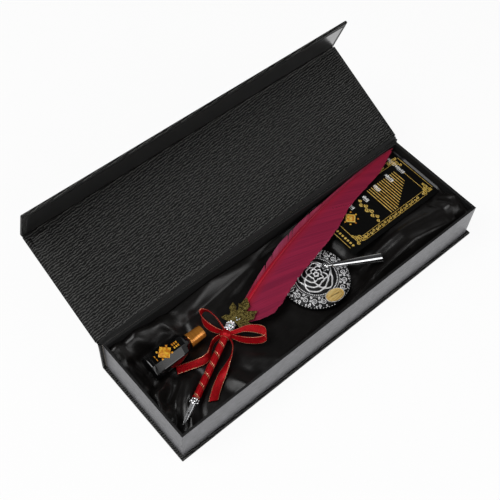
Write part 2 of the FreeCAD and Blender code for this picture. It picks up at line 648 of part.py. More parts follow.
def build_pen():
    length = quill_length
    barrel = rod(BARREL_RADIUS, BARREL_LENGTH, V(barrel_start, 0, 0))
    barrel = barrel.cut(rod(SPIGOT_RADIUS + SEAT, SPIGOT_LENGTH + SEAT, V(barrel_start, 0, 0)))
    knot = rod(KNOT_RADIUS, KNOT_LENGTH, V(knot_start, 0, 0))
    knot = knot.makeFillet(KNOT_ROUND, knot.Edges)
    knot = knot.cut(rod(BARREL_RADIUS + SEAT, KNOT_LENGTH, V(knot_start, 0, 0)))
    pieces = {
        "pen_barrel": barrel, "barrel_ribbon": barrel_ribbon(), "lower_collar": lower_collar(),
        "nib_holder": nib_holder(), "nib": pen_nib(), "upper_ferrule": upper_ferrule(),
        "quill_shaft": quill_shaft(length), "maple_leaf": maple_leaf(), "bow_knot": knot,
        "feather_vane_wide": vane(WIDE_VANE_SHARES, WIDE_VANE, -1, length),
        "feather_vane_narrow": vane(NARROW_VANE_SHARES, NARROW_VANE, 1, length),
        "bow_loop_left": bow_loop(BOW_LEFT_DEG), "bow_loop_right": bow_loop(BOW_RIGHT_DEG),
        "bow_tail_left": bow_tail(LEFT_TAIL, 1), "bow_tail_right": bow_tail(RIGHT_TAIL, -1)}
    for name, shape in pieces.items():
        save(name, moved(shape, pen_place))
    print("ribbon gap", round(ribbon_gap(), 2), "quill length", round(length, 1))


def octagon(along, flats):
    """A regular outline across X, lying on one flat."""
    corner = flats / 2 / math.cos(math.pi / BOTTLE_SIDES)
    turns = [2 * math.pi * (i + MIDDLE_SHARE) / BOTTLE_SIDES for i in range(BOTTLE_SIDES)]
    points = [V(along, corner * math.sin(t), corner * math.cos(t)) for t in turns]
    return Part.makePolygon(points + points[:1])


def faceted(stations):
    return Part.makeLoft([octagon(along, flats) for along, flats in stations], True, True)


def lay_bottle():
    """Along the box, with its cap by the bow and its side by the end of the left ribbon tail."""
    back, out = LEFT_TAIL
    knot = pen_place.multVec(V(knot_middle, 0, 0))
    tail = pen_place.multVec(V(knot_start - back, KNOT_RADIUS + out + TAIL_WIDTH, 0))
    x = knot.x - BOTTLE_BOW_ROOM - neck_x - CAP_GAP - CAP_LENGTH
    at = V(x, tail.y + BOTTLE_TAIL_ROOM, bed_z + REST_GAP + BOTTLE_FLATS / 2)
    return FreeCAD.Placement(at, FreeCAD.Rotation())


def build_bottle():
    neck_end = neck_x + NECK_LENGTH
    outer = faceted([(0, BOTTLE_FLATS - 2 * BOTTLE_EDGE), (BOTTLE_EDGE, BOTTLE_FLATS),
                     (BOTTLE_BODY, BOTTLE_FLATS), (neck_x, 2 * CAP_RADIUS)])
    outer = outer.fuse(rod(NECK_RADIUS, NECK_LENGTH, V(neck_x, 0, 0)))
    hollow = BOTTLE_FLATS - 2 * BOTTLE_WALL
    inner = faceted([(BOTTLE_FLOOR, hollow), (BOTTLE_BODY, hollow), (neck_x, 2 * NECK_BORE)])
    glass = outer.cut(inner).cut(rod(NECK_BORE, NECK_LENGTH, V(neck_x, 0, 0)))
    ink = faceted([(BOTTLE_FLOOR + SEAT, hollow - 2 * SEAT), (BOTTLE_BODY, hollow - 2 * SEAT)])
    label = faceted([(LABEL_MARGIN, BOTTLE_FLATS + 2 * LABEL_THICKNESS),
                     (BOTTLE_BODY - LABEL_MARGIN, BOTTLE_FLATS + 2 * LABEL_THICKNESS)])
    label = label.cut(faceted([(0, BOTTLE_FLATS), (BOTTLE_BODY, BOTTLE_FLATS)]))
    label = label.common(block(0, BOTTLE_BODY, -BOTTLE_FLATS, BOTTLE_FLATS, BOTTLE_FLATS / 4, BOTTLE_FLATS))
    wad_start = neck_end + SEAT
    wad = rod(NECK_RADIUS, WAD_THICKNESS, V(wad_start, 0, 0))
    cap_start = neck_x + CAP_GAP
    cap_end = cap_start + CAP_LENGTH
    cap_inside = wad_start + WAD_THICKNESS + SEAT
    bore = NECK_RADIUS + CAP_GAP
    cap = revolve_x([(cap_start, bore), (cap_start, CAP_RADIUS), (cap_end - CAP_EDGE, CAP_TOP_RADIUS),
                     (cap_end, CAP_TOP_RADIUS - CAP_EDGE), (cap_end, 0), (cap_inside, 0), (cap_inside, bore)])
    pieces = {"bottle_glass": glass, "bottle_ink": ink, "bottle_label": label, "cap_wad": wad,
              "bottle_cap": cap}
    for name, shape in pieces.items():
        save(name, moved(shape, bottle_place))
    at = bottle_place.Base
    print("bottle axis", at, "neck from", at.x + neck_x, "to", at.x + neck_end, "cap end", at.x + cap_end)


def build_card():
    save("card", Part.makeBox(CARD_LENGTH, CARD_WIDTH, CARD_THICKNESS, card_corner))


def stand_body():
    """A turned disc: a rounded rim that climbs to a crest round a well."""
    rim = V(STAND_RADIUS, 0, STAND_FOOT)
    shoulder = V(STAND_RADIUS - STAND_RIM + STAND_FOOT, 0, STAND_RIM)
    rise = STAND_RIM - STAND_FOOT
    bulge = V(STAND_RADIUS - rise * (1 - RIM_BULGE_SHARE), 0, STAND_FOOT + rise * RIM_BULGE_SHARE)
    crest = V(STAND_CREST_RADIUS, 0, STAND_CREST)
    ledge = STAND_CREST - BEAD_RADIUS
    stops = [crest, V(STAND_CREST_RADIUS - BEAD_RADIUS, 0, ledge), V(WELL_RADIUS, 0, ledge),
             V(WELL_RADIUS, 0, STAND_WELL), V(0, 0, STAND_WELL), V(0, 0, 0),
             V(STAND_RADIUS - STAND_FOOT, 0, 0), rim]
    edges = [Part.Arc(rim, bulge, shoulder).toShape(), Part.LineSegment(shoulder, crest).toShape()]
    edges += [Part.LineSegment(a, b).toShape() for a, b in zip(stops, stops[1:])]
    return Part.Face(Part.Wire(edges)).revolve(V(0, 0, 0), Z_AXIS, 360)


def stand_rose():
    """Layers of round petals that climb towards the bud."""
    layers = []
    for ring_share, petal_share, height_share, turn_share in ROSE_SHARES:
        for count in range(PETALS):
            turn = 2 * math.pi * (count + turn_share) / PETALS
            centre = V(math.cos(turn), math.sin(turn), 0) * (ring_share * ROSE_RADIUS) + V(0, 0, STAND_WELL)
            layers.append(rod(petal_share * ROSE_RADIUS, height_share * ROSE_HEIGHT, centre, Z_AXIS))
    core_radius, core_height = ROSE_RADIUS * ROSE_CORE_SHARES[0], ROSE_HEIGHT * ROSE_CORE_SHARES[1]
    core = rod(core_radius, core_height, V(0, 0, STAND_WELL), Z_AXIS)
    return core.fuse(layers).removeSplitter()


def stand_plaque():
    oval = Part.Ellipse(V(0, 0, 0), PLAQUE_LENGTH / 2, PLAQUE_WIDTH / 2).toShape()
    oval = Part.Face(Part.Wire(oval)).extrude(V(0, 0, PLAQUE_THICKNESS))
    oval.translate(V(0, -PLAQUE_RADIUS, STAND_CREST + SEAT))
    return oval


def ball_on_stem():
    """A ball at the origin and its stem along X, turned as one."""
    neck = V(math.sqrt(BALL_RADIUS ** 2 - STEM_RADIUS ** 2), STEM_RADIUS, 0)
    crown = V(0, BALL_RADIUS, 0)
    back = V(-BALL_RADIUS, 0, 0)
    end = V(STEM_LENGTH, STEM_RADIUS, 0)
    foot = V(STEM_LENGTH, 0, 0)
    edges = [Part.Arc(back, crown, neck).toShape()]
    edges += [Part.LineSegment(a, b).toShape() for a, b in ((neck, end), (end, foot), (foot, back))]
    return Part.Face(Part.Wire(edges)).revolve(V(0, 0, 0), X_AXIS, 360)


def holder_parts():
    """The ball's socket on its post, the ball with its stem, and the funnel, all pointing along X."""
    centre = V(0, 0, BALL_HEIGHT)
    post = rod(SOCKET_RADIUS, BALL_HEIGHT - STAND_WELL + BALL_GAP, V(0, 0, STAND_WELL), Z_AXIS)
    post = post.cut(Part.makeSphere(BALL_RADIUS + BALL_GAP, centre))
    slot = STEM_RADIUS + 2 * BALL_GAP
    post = post.cut(block(0, SOCKET_RADIUS + OVERRUN, -slot, slot, BALL_HEIGHT - slot, BALL_HEIGHT + OVERRUN))
    ball = ball_on_stem()
    ball.translate(centre)
    mouth = FUNNEL_START + FUNNEL_LENGTH
    bore_start = mouth - FUNNEL_BORE_DEPTH
    seat = STEM_RADIUS + SEAT
    funnel = revolve_x([(FUNNEL_START, seat), (FUNNEL_START, FUNNEL_ROOT_RADIUS),
                        (bore_start, FUNNEL_MID_RADIUS), (mouth, FUNNEL_MOUTH_RADIUS), (mouth, FUNNEL_BORE),
                        (bore_start, FUNNEL_BORE), (bore_start, 0), (STEM_LENGTH + SEAT, 0),
                        (STEM_LENGTH + SEAT, seat)])
    low = V(mouth, 0, -FUNNEL_MOUTH_RADIUS)
    high = V(mouth - FUNNEL_SLANT, 0, FUNNEL_MOUTH_RADIUS)
    past = V(0, 0, OVERRUN)
    along = V(OVERRUN, 0, 0)
    slope = (high - low) * (OVERRUN / (2 * FUNNEL_MOUTH_RADIUS))
    corners = [low - slope, high + slope, high + slope + along + past, low - slope + along * 2]
    wedge = Part.Face(Part.makePolygon(corners + corners[:1]))
    wedge.translate(V(0, -FUNNEL_MOUTH_RADIUS - OVERRUN, 0))
    wedge = wedge.extrude(V(0, 2 * (FUNNEL_MOUTH_RADIUS + OVERRUN), 0))
    funnel = funnel.cut(wedge)
    funnel.translate(centre)
    return post, ball, funnel


def build_stand():
    post, ball, funnel = holder_parts()
    aim = FreeCAD.Placement(V(SOCKET_OFFSET, 0, 0), FreeCAD.Rotation(Z_AXIS, FUNNEL_YAW_DEG))
    post = moved(post, aim)
    room = moved(rod(SOCKET_RADIUS + SEAT, ROSE_HEIGHT + OVERRUN, V(0, 0, STAND_WELL), Z_AXIS), aim)
    sweep = rod(FUNNEL_ROOT_RADIUS + 2 * BALL_GAP, WELL_RADIUS, V(0, 0, BALL_HEIGHT))
    rose = stand_rose().cut(room).cut(moved(sweep, aim))
    beads = Part.makeTorus(BEAD_RING_RADIUS, BEAD_RADIUS - SEAT, V(0, 0, STAND_CREST))
    felt = rod(FELT_RADIUS, FELT_THICKNESS, V(0, 0, -FELT_THICKNESS), Z_AXIS)
    pieces = {"stand_base": stand_body(), "stand_felt": felt, "stand_rose": rose, "stand_bead_ring": beads,
              "stand_plaque": stand_plaque(), "holder_socket": post, "holder_ball": moved(ball, aim),
              "pen_funnel": moved(funnel, aim)}
    for name, shape in pieces.items():
        save(name, moved(shape, stand_place))
    print("ball centre", stand_place.multVec(V(SOCKET_OFFSET, 0, BALL_HEIGHT)))


pen_place, quill_length = lay_pen()
pen_front_y = pen_place.Base.y - COLLAR_RADIUS - COLLAR_PETAL_RADIUS
bottle_place = lay_bottle()
build_base()
build_spine()
build_lid()
build_flap()
build_tray()
build_padding()
build_pen()
build_bottle()
build_card()
build_stand()
print("lid hinge", hinge, "flap pivot at rest", with_lid(Part.Vertex(flap_pivot)).Point)
print("rim", rim_z, "bed", bed_z, "inner", inner_x, inner_y)
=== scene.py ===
# Gift box with a quill pen: case, tray, satin, pen, ink bottle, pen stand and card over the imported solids.
# Metres, in the solids' own frame. The set's pieces are drawn in millimetres and placed by a local frame.
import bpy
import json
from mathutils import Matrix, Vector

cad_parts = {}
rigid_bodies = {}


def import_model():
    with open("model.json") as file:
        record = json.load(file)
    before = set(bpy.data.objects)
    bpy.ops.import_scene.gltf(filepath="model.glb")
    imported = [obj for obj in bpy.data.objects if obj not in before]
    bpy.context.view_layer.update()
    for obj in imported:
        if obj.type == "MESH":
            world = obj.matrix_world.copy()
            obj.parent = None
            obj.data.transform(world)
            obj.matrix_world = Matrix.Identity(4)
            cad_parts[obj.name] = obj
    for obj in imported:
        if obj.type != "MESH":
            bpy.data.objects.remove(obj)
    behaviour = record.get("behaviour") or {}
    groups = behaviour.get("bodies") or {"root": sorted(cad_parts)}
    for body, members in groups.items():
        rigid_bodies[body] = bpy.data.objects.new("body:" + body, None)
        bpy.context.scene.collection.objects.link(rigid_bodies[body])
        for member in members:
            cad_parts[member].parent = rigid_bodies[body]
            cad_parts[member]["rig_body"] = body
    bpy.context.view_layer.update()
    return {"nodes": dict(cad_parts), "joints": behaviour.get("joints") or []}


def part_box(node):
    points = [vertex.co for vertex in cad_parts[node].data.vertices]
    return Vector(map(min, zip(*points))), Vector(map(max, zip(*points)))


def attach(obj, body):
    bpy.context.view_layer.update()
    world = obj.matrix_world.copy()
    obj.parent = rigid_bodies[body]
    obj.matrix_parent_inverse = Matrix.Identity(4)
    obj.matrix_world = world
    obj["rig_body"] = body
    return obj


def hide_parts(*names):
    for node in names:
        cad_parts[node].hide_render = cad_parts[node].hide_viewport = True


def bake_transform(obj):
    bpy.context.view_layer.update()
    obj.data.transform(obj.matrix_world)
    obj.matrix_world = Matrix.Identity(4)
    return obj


bl_info = {
    "name": "Quill pen gift box",
    "version": (1, 0, 0),
    "blender": (4, 5, 0),
    "location": "View3D > Sidebar > Gift box",
    "description": "Builds the visible pieces and finishes of a gift box with a quill pen set",
    "category": "Object",
}

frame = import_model()

import json
import math

import bmesh
import bpy
from bpy.props import FloatProperty, FloatVectorProperty, IntProperty, PointerProperty
from mathutils import Matrix, Vector, noise
from mathutils.bvhtree import BVHTree

MM = 0.001
NODES = frame["nodes"]
JOINTS = {joint["name"]: joint for joint in frame["joints"]}
# A band texture repeats after this length at a scale of 1
BAND_LENGTH = math.pi / 10


def middle(node):
    low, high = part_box(node)
    return (low + high) / 2


def swing(name):
    """The turn that carries a closed panel to where its joint rests."""
    joint = JOINTS[name]
    place = Matrix.Translation(Vector(joint["pos_m"]))
    turn = Matrix.Rotation(math.radians(-joint["range_deg"][0]), 4, Vector(joint["axis"]))
    return place @ turn @ place.inverted()


def pen_frame():
    """Millimetres along the pen from the nib's tip, to its left, and up."""
    collar, ferrule = middle("lower_collar"), middle("upper_ferrule")
    along = (ferrule - collar).normalized()
    left = Vector((0, 0, 1)).cross(along).normalized()
    turn = Matrix((along, left, along.cross(left))).transposed().to_4x4()
    return Matrix.Translation(collar - along * 21 * MM) @ turn @ Matrix.Scale(MM, 4)


def local_frame(x, y, z):
    return Matrix.Translation((x, y, z)) @ Matrix.Scale(MM, 4)


UNMOVED = Matrix.Identity(4)
LID = swing("lid_hinge")
FLAP = swing("flap_hinge") @ LID
PEN = pen_frame()
BOTTLE = local_frame(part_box("bottle_glass")[0].x, middle("bottle_cap").y, middle("bottle_cap").z)
STAND = local_frame(middle("stand_base").x, middle("stand_base").y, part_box("stand_base")[0].z)
CARD = local_frame(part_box("card")[0].x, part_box("card")[0].y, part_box("card")[1].z)
BALL = Matrix.Translation(Vector(JOINTS["holder_tilt"]["pos_m"]))


def linear(code):
    """An sRGB hex colour as linear red, green, blue and alpha."""
    parts = [int(code[i:i + 2], 16) / 255 for i in (1, 3, 5)]
    return (*[c / 12.92 if c <= 0.04045 else ((c + 0.055) / 1.055) ** 2.4 for c in parts], 1.0)


def colour_property(name, description, code):
    return FloatVectorProperty(name=name, description=description, default=linear(code), size=4,
                               subtype="COLOR", min=0, max=1)


def length_property(name, description, default):
    return FloatProperty(name=name, description=description, default=default, unit="LENGTH", min=0,
                         precision=5)


def angle_property(name, description, degrees):
    return FloatProperty(name=name, description=description, default=math.radians(degrees), subtype="ANGLE")


class CaseLook(bpy.types.PropertyGroup):
    # Painted sheen and shade: the crest colour is a pale grey painted on the black paper's ripples as a
    # painted sheen, and the groove colour is the paper's black deepened with painted shade
    paper: colour_property("Leatherette", "Crest of the embossed paper", "#464644")
    groove_black_and_shade: colour_property("Groove", "Groove of the embossed paper", "#020202")
    emboss: length_property("Emboss", "Spacing of the embossed lines", 2.1 * MM)
    sleeve: colour_property("Tray sleeve", "Pearl grey paper round the tray", "#69696c")
    edge: length_property("Edge", "Rounding of a paper-covered board edge", 0.7 * MM)


class SatinLook(bpy.types.PropertyGroup):
    cloth: colour_property("Satin", "Black lining satin", "#141211")
    fold: FloatProperty(name="Folds", description="Height of the folds, as a share of the drawn one",
                        default=1.0)
    columns: IntProperty(name="Columns", description="Faces along the tray", default=300, min=20)
    rows: IntProperty(name="Rows", description="Faces across the tray", default=96, min=10)


class PenLook(bpy.types.PropertyGroup):
    feather: colour_property("Feather", "Dyed barbs", "#962041")
    quill: colour_property("Quill", "Dyed stem", "#c0142b")
    ribbon: colour_property("Ribbon", "Satin ribbon", "#c0101b")
    edge: colour_property("Ribbon edge", "Metallic edge thread", "#ecd3a4")
    barb: length_property("Barb", "Width of a visible bundle of barbs", 0.75 * MM)
    bronze: colour_property("Leaf", "Antique bronze", "#a09254")


class SetLook(bpy.types.PropertyGroup):
    cap: colour_property("Cap", "Anodised cap", "#cf8636")
    foil: colour_property("Foil", "Gold foil", "#e2be5a")
    silver: colour_property("Silver", "Polished crest of the casting", "#f4f4f5")
    patina: colour_property("Patina", "Blackened ground of the casting", "#060607")


class StageLook(bpy.types.PropertyGroup):
    azimuth: angle_property("Azimuth", "Camera's side", -45.21)
    elevation: angle_property("Elevation", "Camera's rise", 56.23)
    roll: angle_property("Roll", "Camera's roll", 4.88)
    distance: length_property("Distance", "Camera to target", 0.7825)
    lens: FloatProperty(name="Lens", description="Focal length on a 36 mm sensor", default=63.46)


def add(tree, kind, inputs=None, ramp=None, **settings):
    """Adds one node. An input is a value or another node's socket."""
    node = tree.nodes.new("ShaderNode" + kind)
    for key, value in settings.items():
        setattr(node, key, value)
    if ramp:
        stops = node.color_ramp.elements
        while len(stops) < len(ramp):
            stops.new(1.0)
        for stop, (place, colour) in zip(stops, ramp):
            stop.position = place
            stop.color = colour
    for key, value in (inputs or {}).items():
        if isinstance(value, bpy.types.NodeSocket):
            tree.links.new(value, node.inputs[key])
        else:
            node.inputs[key].default_value = value
    return node


def material(name, **sockets):
    """A new material with values on its shader; an underscore in a socket's name is a space."""
    made = bpy.data.materials.new(name)
    made.use_nodes = True
    shader = made.node_tree.nodes["Principled BSDF"]
    for socket, value in sockets.items():
        shader.inputs[socket.replace("_", " ")].default_value = value
    return made, made.node_tree, shader


def join(tree, shader, **sockets):
    for socket, output in sockets.items():
        tree.links.new(output, shader.inputs[socket.replace("_", " ")])


def per(millimetres):
    """The texture scale at which one cell is this wide."""
    return 1 / (millimetres * MM)


def shade(colour, share):
    """A colour made darker or lighter, by a share of itself."""
    return (*[min(1.0, share * c) for c in colour[:3]], 1.0)


def grained(name, cell, tones=None, rough=None, bump=None, detail=2.0, coords="Object", drawn_out=None,
            **sockets):
    """A finish whose tones, gloss and relief follow one grain, with cells this many millimetres wide."""
    made, tree, shader = material(name, **sockets)
    place = add(tree, "TexCoord").outputs[coords]
    if drawn_out:
        place = add(tree, "Mapping", {"Vector": place, "Scale": drawn_out}).outputs[0]
    grain = add(tree, "TexNoise", {"Vector": place, "Scale": per(cell), "Detail": detail}).outputs[0]
    links = {}
    if tones:
        stops = [(at, linear(tone) if isinstance(tone, str) else tone) for at, tone in tones]
        links["Base_Color"] = add(tree, "ValToRGB", {0: grain}, ramp=stops).outputs[0]
    if rough:
        gloss = add(tree, "MapRange", {"Value": grain, "To Min": rough[0], "To Max": rough[1]})
        links["Roughness"] = gloss.outputs[0]
    if bump:
        relief = add(tree, "Bump", {"Strength": bump[0], "Distance": bump[1] * MM, "Height": grain})
        links["Normal"] = relief.outputs[0]
    join(tree, shader, **links)
    return made


FINISHES = {}


def finish(make):
    """The material that a function makes, made once."""
    if make.__name__ not in FINISHES:
        FINISHES[make.__name__] = make()
    return FINISHES[make.__name__]


def leatherette_paper():
    # Paper with a pressed skin: short, wavy ripples along the box; painted sheen makes their crests pale,
    # painted shade black between
    look = bpy.context.scene.gift_case
    made, tree, shader = material("leatherette_paper", Specular_IOR_Level=0.24)
    place = add(tree, "TexCoord").outputs["UV"]
    slanted = add(tree, "Mapping", {"Vector": place, "Rotation": (0, 0, 0.07), "Scale": (1.25, 1, 1)})
    lines = add(tree, "TexWave", {"Vector": slanted.outputs[0], "Scale": BAND_LENGTH / look.emboss,
                                  "Distortion": 4.2, "Detail": 1.0, "Detail Scale": 1.3},
                bands_direction="Y").outputs["Fac"]
    grain = add(tree, "TexNoise", {"Vector": place, "Scale": per(0.8), "Detail": 2.0}).outputs[0]
    broken = add(tree, "TexNoise", {"Vector": place, "Scale": per(3.2), "Detail": 2.0}).outputs[0]
    height = add(tree, "Math", {0: grain, 1: broken}, operation="MULTIPLY").outputs[0]
    height = add(tree, "Math", {0: height, 1: 2.4, 2: lines}, operation="MULTIPLY_ADD").outputs[0]
    half = add(tree, "Math", {0: height, 1: 0.5}, operation="MULTIPLY").outputs[0]
    # Painted sheen on the crests and painted shade in the grooves: the colour follows the ripples' height
    # from the groove colour to the crest colour
    tint = add(tree, "ValToRGB", {0: half}, ramp=[(0.58, look.groove_black_and_shade), (0.76, look.paper)]).outputs[0]
    rough = add(tree, "MapRange", {"Value": grain, "To Min": 0.34, "To Max": 0.5}).outputs[0]
    relief = add(tree, "Bump", {"Strength": 1.0, "Distance": 0.3 * MM, "Height": height}).outputs[0]
    join(tree, shader, Base_Color=tint, Roughness=rough, Normal=relief)
    return made


def coated_paper():
    # Smooth coated paper: dark and even, with a clear gloss that mirrors a bright table at a flat angle
    return grained("coated_paper", 1.2, [(0.3, "#121212"), (0.8, "#1b1b1b")], (0.26, 0.36), (0.05, 0.03), 4.0,
                   "UV", Coat_Weight=1.0, Coat_Roughness=0.24)


def pearl_paper():
    # Pearl-coated grey paper: mica in the coat gives fine streaks along the box and a satin sheen
    look = bpy.context.scene.gift_case
    made, tree, shader = material("pearl_paper", Metallic=0.35, Roughness=0.42)
    place = add(tree, "TexCoord").outputs["UV"]
    drawn_out = add(tree, "Mapping", {"Vector": place, "Scale": (0.12, 1, 1)}).outputs[0]
    streak = add(tree, "TexNoise", {"Vector": drawn_out, "Scale": per(0.9), "Detail": 3.0}).outputs[0]
    fleck = add(tree, "TexNoise", {"Vector": place, "Scale": per(0.7), "Detail": 2.0}).outputs[0]
    blend = add(tree, "Math", {0: streak, 1: fleck}, operation="MULTIPLY").outputs[0]
    tones = [(0.12, shade(look.sleeve, 0.4)), (0.4, shade(look.sleeve, 1.75))]
    tint = add(tree, "ValToRGB", {0: blend}, ramp=tones).outputs[0]
    relief = add(tree, "Bump", {"Strength": 0.25, "Distance": 0.08 * MM, "Height": streak}).outputs[0]
    join(tree, shader, Base_Color=tint, Normal=relief)
    return made


def black_paper():
    # Black uncoated lining paper: matt, with a fibre that only shows close to
    return grained("black_paper", 1.0, [(0.3, "#0c0c0c"), (0.8, "#181818")], bump=(0.2, 0.05), detail=4.0,
                   Roughness=0.6, Specular_IOR_Level=0.35)


def lining_satin():
    # Polyester satin: long floats of thread, so black in the hollows with broad soft grey lights on the folds
    look = bpy.context.scene.gift_satin
    made, tree, shader = material("lining_satin", Specular_IOR_Level=0.42, Sheen_Weight=0.08,
                                  Sheen_Roughness=0.4, Sheen_Tint=linear("#8a8682"))
    place = add(tree, "TexCoord").outputs["UV"]
    # Threads are drawn at 0.9 mm, far coarser than real ones, so that they show
    thread = add(tree, "Mapping", {"Vector": place, "Scale": (0.1, 1, 1)}).outputs[0]
    weave = add(tree, "TexNoise", {"Vector": thread, "Scale": per(0.9), "Detail": 2.0}).outputs[0]
    crease = add(tree, "TexNoise", {"Vector": place, "Scale": per(18), "Detail": 2.0,
                                    "Distortion": 0.5}).outputs[0]
    tones = [(0.3, shade(look.cloth, 0.6)), (0.75, look.cloth)]
    tint = add(tree, "ValToRGB", {0: weave}, ramp=tones).outputs[0]
    rough = add(tree, "MapRange", {"Value": weave, "To Min": 0.28, "To Max": 0.4}).outputs[0]
    height = add(tree, "Math", {0: crease, 1: 12.0, 2: weave}, operation="MULTIPLY_ADD").outputs[0]
    relief = add(tree, "Bump", {"Strength": 0.3, "Distance": 0.1 * MM, "Height": height}).outputs[0]
    join(tree, shader, Base_Color=tint, Roughness=rough, Normal=relief)
    return made


def ribbon_satin():
    # Satin ribbon, its ribs drawn coarse to show, with a pale metallic thread in dashes along each edge
    look = bpy.context.scene.gift_pen
    made, tree, shader = material("ribbon_satin", Specular_IOR_Level=0.15)
    place = add(tree, "TexCoord").outputs["UV"]
    split = add(tree, "SeparateXYZ", {0: place})
    off_middle = add(tree, "Math", {0: split.outputs[1], 1: 0.5}, operation="SUBTRACT").outputs[0]
    off_middle = add(tree, "Math", {0: off_middle}, operation="ABSOLUTE").outputs[0]
    border = add(tree, "Math", {0: off_middle, 1: 0.462, 2: 0.02}, operation="COMPARE").outputs[0]
    dash = add(tree, "Math", {0: split.outputs[0], 1: math.tau * per(1.5)}, operation="MULTIPLY").outputs[0]
    dash = add(tree, "Math", {0: dash}, operation="SINE").outputs[0]
    dash = add(tree, "Math", {0: dash, 1: -0.6}, operation="GREATER_THAN").outputs[0]
    thread = add(tree, "Math", {0: border, 1: dash}, operation="MULTIPLY").outputs[0]
    ribs = add(tree, "Mapping", {"Vector": place, "Scale": (1, 0.003, 1)}).outputs[0]
    weave = add(tree, "TexNoise", {"Vector": ribs, "Scale": per(0.7), "Detail": 2.0}).outputs[0]
    tones = [(0.3, shade(look.ribbon, 0.5)), (0.7, look.ribbon)]
    cloth = add(tree, "ValToRGB", {0: weave}, ramp=tones).outputs[0]
    tint = add(tree, "Mix", {0: thread, 6: cloth, 7: look.edge}, data_type="RGBA").outputs[2]
    metal = add(tree, "MapRange", {"Value": thread, "To Min": 0.3, "To Max": 0.45}).outputs[0]
    rough = add(tree, "MapRange", {"Value": thread, "To Min": 0.4, "To Max": 0.3}).outputs[0]
    relief = add(tree, "Bump", {"Strength": 0.3, "Distance": 0.08 * MM, "Height": weave}).outputs[0]
    join(tree, shader, Base_Color=tint, Metallic=metal, Roughness=rough, Normal=relief)
    return made


def dyed_barbs(name, pale, dark):
    # Dyed goose vane: fine bundles of barbs slant from the stem, redder beside it and darker towards the tip
    look = bpy.context.scene.gift_pen
    made, tree, shader = material(name, Roughness=0.55, Specular_IOR_Level=0.22)
    place = add(tree, "TexCoord").outputs["UV"]
    split = add(tree, "SeparateXYZ", {0: place})
    barbs = add(tree, "Mapping", {"Vector": place, "Scale": (1, 0.03, 1)}).outputs[0]
    streak = add(tree, "TexNoise", {"Vector": barbs, "Scale": 1 / look.barb, "Detail": 2.0}).outputs[0]
    cloud = add(tree, "TexNoise", {"Vector": barbs, "Scale": per(12), "Detail": 2.0}).outputs[0]
    both = add(tree, "Math", {0: cloud, 1: streak}, operation="ADD").outputs[0]
    both = add(tree, "Math", {0: both, 1: 0.5}, operation="MULTIPLY").outputs[0]
    tint = add(tree, "ValToRGB", {0: both}, ramp=[(0.42, dark), (0.57, pale)]).outputs[0]
    tip = add(tree, "MapRange", {"Value": split.outputs[0], "From Min": 0.17, "From Max": 0.33,
                                 "To Max": 0.7}).outputs[0]
    tint = add(tree, "Mix", {0: tip, 6: tint, 7: linear("#7e162e")}, data_type="RGBA").outputs[2]
    by_stem = add(tree, "MapRange", {"Value": split.outputs[1], "From Min": 1 * MM, "From Max": 7 * MM,
                                     "To Min": 1.0, "To Max": 0.0}).outputs[0]
    fading = add(tree, "MapRange", {"Value": split.outputs[0], "From Min": 0.1, "From Max": 0.3,
                                    "To Min": 0.75, "To Max": 0.2}).outputs[0]
    red = add(tree, "Math", {0: by_stem, 1: fading}, operation="MULTIPLY").outputs[0]
    tint = add(tree, "Mix", {0: red, 6: tint, 7: linear("#a0101f")}, data_type="RGBA").outputs[2]
    relief = add(tree, "Bump", {"Strength": 0.35, "Distance": 0.12 * MM, "Height": streak}).outputs[0]
    join(tree, shader, Base_Color=tint, Normal=relief)
    return made


def wide_barbs():
    return dyed_barbs("dyed_wide_barbs", bpy.context.scene.gift_pen.feather, linear("#7a1838"))


def narrow_barbs():
    return dyed_barbs("dyed_narrow_barbs", linear("#944866"), linear("#742846"))


def dyed_quill():
    # Dyed horn-like stem: clear red and glossy at the root, towards the barbs' colour at the tip
    look = bpy.context.scene.gift_pen
    made, tree, shader = material("dyed_quill", Roughness=0.34, Specular_IOR_Level=0.35)
    place = add(tree, "TexCoord").outputs["UV"]
    split = add(tree, "SeparateXYZ", {0: place})
    # The map runs once along the quill, so its fibres are about 4 mm long
    fibre = add(tree, "TexNoise", {"Vector": place, "Scale": 60.0, "Detail": 2.0}).outputs[0]
    shift = add(tree, "Math", {0: fibre, 1: 0.12, 2: split.outputs[0]}, operation="MULTIPLY_ADD").outputs[0]
    tint = add(tree, "ValToRGB", {0: shift}, ramp=[(0.08, look.quill), (0.4, linear("#9a1028")),
                                                   (0.7, linear("#7e1630"))]).outputs[0]
    join(tree, shader, Base_Color=tint)
    return made


def nib_steel():
    # Stamped and polished spring steel; its drawing lines are coarser than real ones, so that they show
    return grained("nib_steel", 0.8, [(0.3, "#c9cbd0"), (0.7, "#fafafa")], (0.1, 0.24), Metallic=0.75)


def antique_silver():
    # Cast white metal, silvered, blackened and rubbed back: bright crests over a black ground
    look = bpy.context.scene.gift_set
    made, tree, shader = material("antique_silver")
    recess = add(tree, "Attribute", attribute_name="recess").outputs["Fac"]
    place = add(tree, "TexCoord").outputs["Object"]
    pit = add(tree, "TexNoise", {"Vector": place, "Scale": per(0.9), "Detail": 3.0}).outputs[0]
    shade = add(tree, "Math", {0: pit, 1: 0.4, 2: recess}, operation="MULTIPLY_ADD").outputs[0]
    tint = add(tree, "ValToRGB", {0: shade}, ramp=[(0.34, look.silver), (0.58, linear("#77777c")),
                                                   (0.76, look.patina)]).outputs[0]
    metal = add(tree, "MapRange", {"Value": shade, "From Min": 0.3, "From Max": 0.9, "To Min": 0.25,
                                   "To Max": 0.1}).outputs[0]
    rough = add(tree, "MapRange", {"Value": shade, "From Min": 0.25, "From Max": 0.95, "To Min": 0.2,
                                   "To Max": 0.5}).outputs[0]
    relief = add(tree, "Bump", {"Strength": 0.3, "Distance": 0.08 * MM, "Height": pit}).outputs[0]
    join(tree, shader, Base_Color=tint, Metallic=metal, Roughness=rough, Normal=relief)
    return made


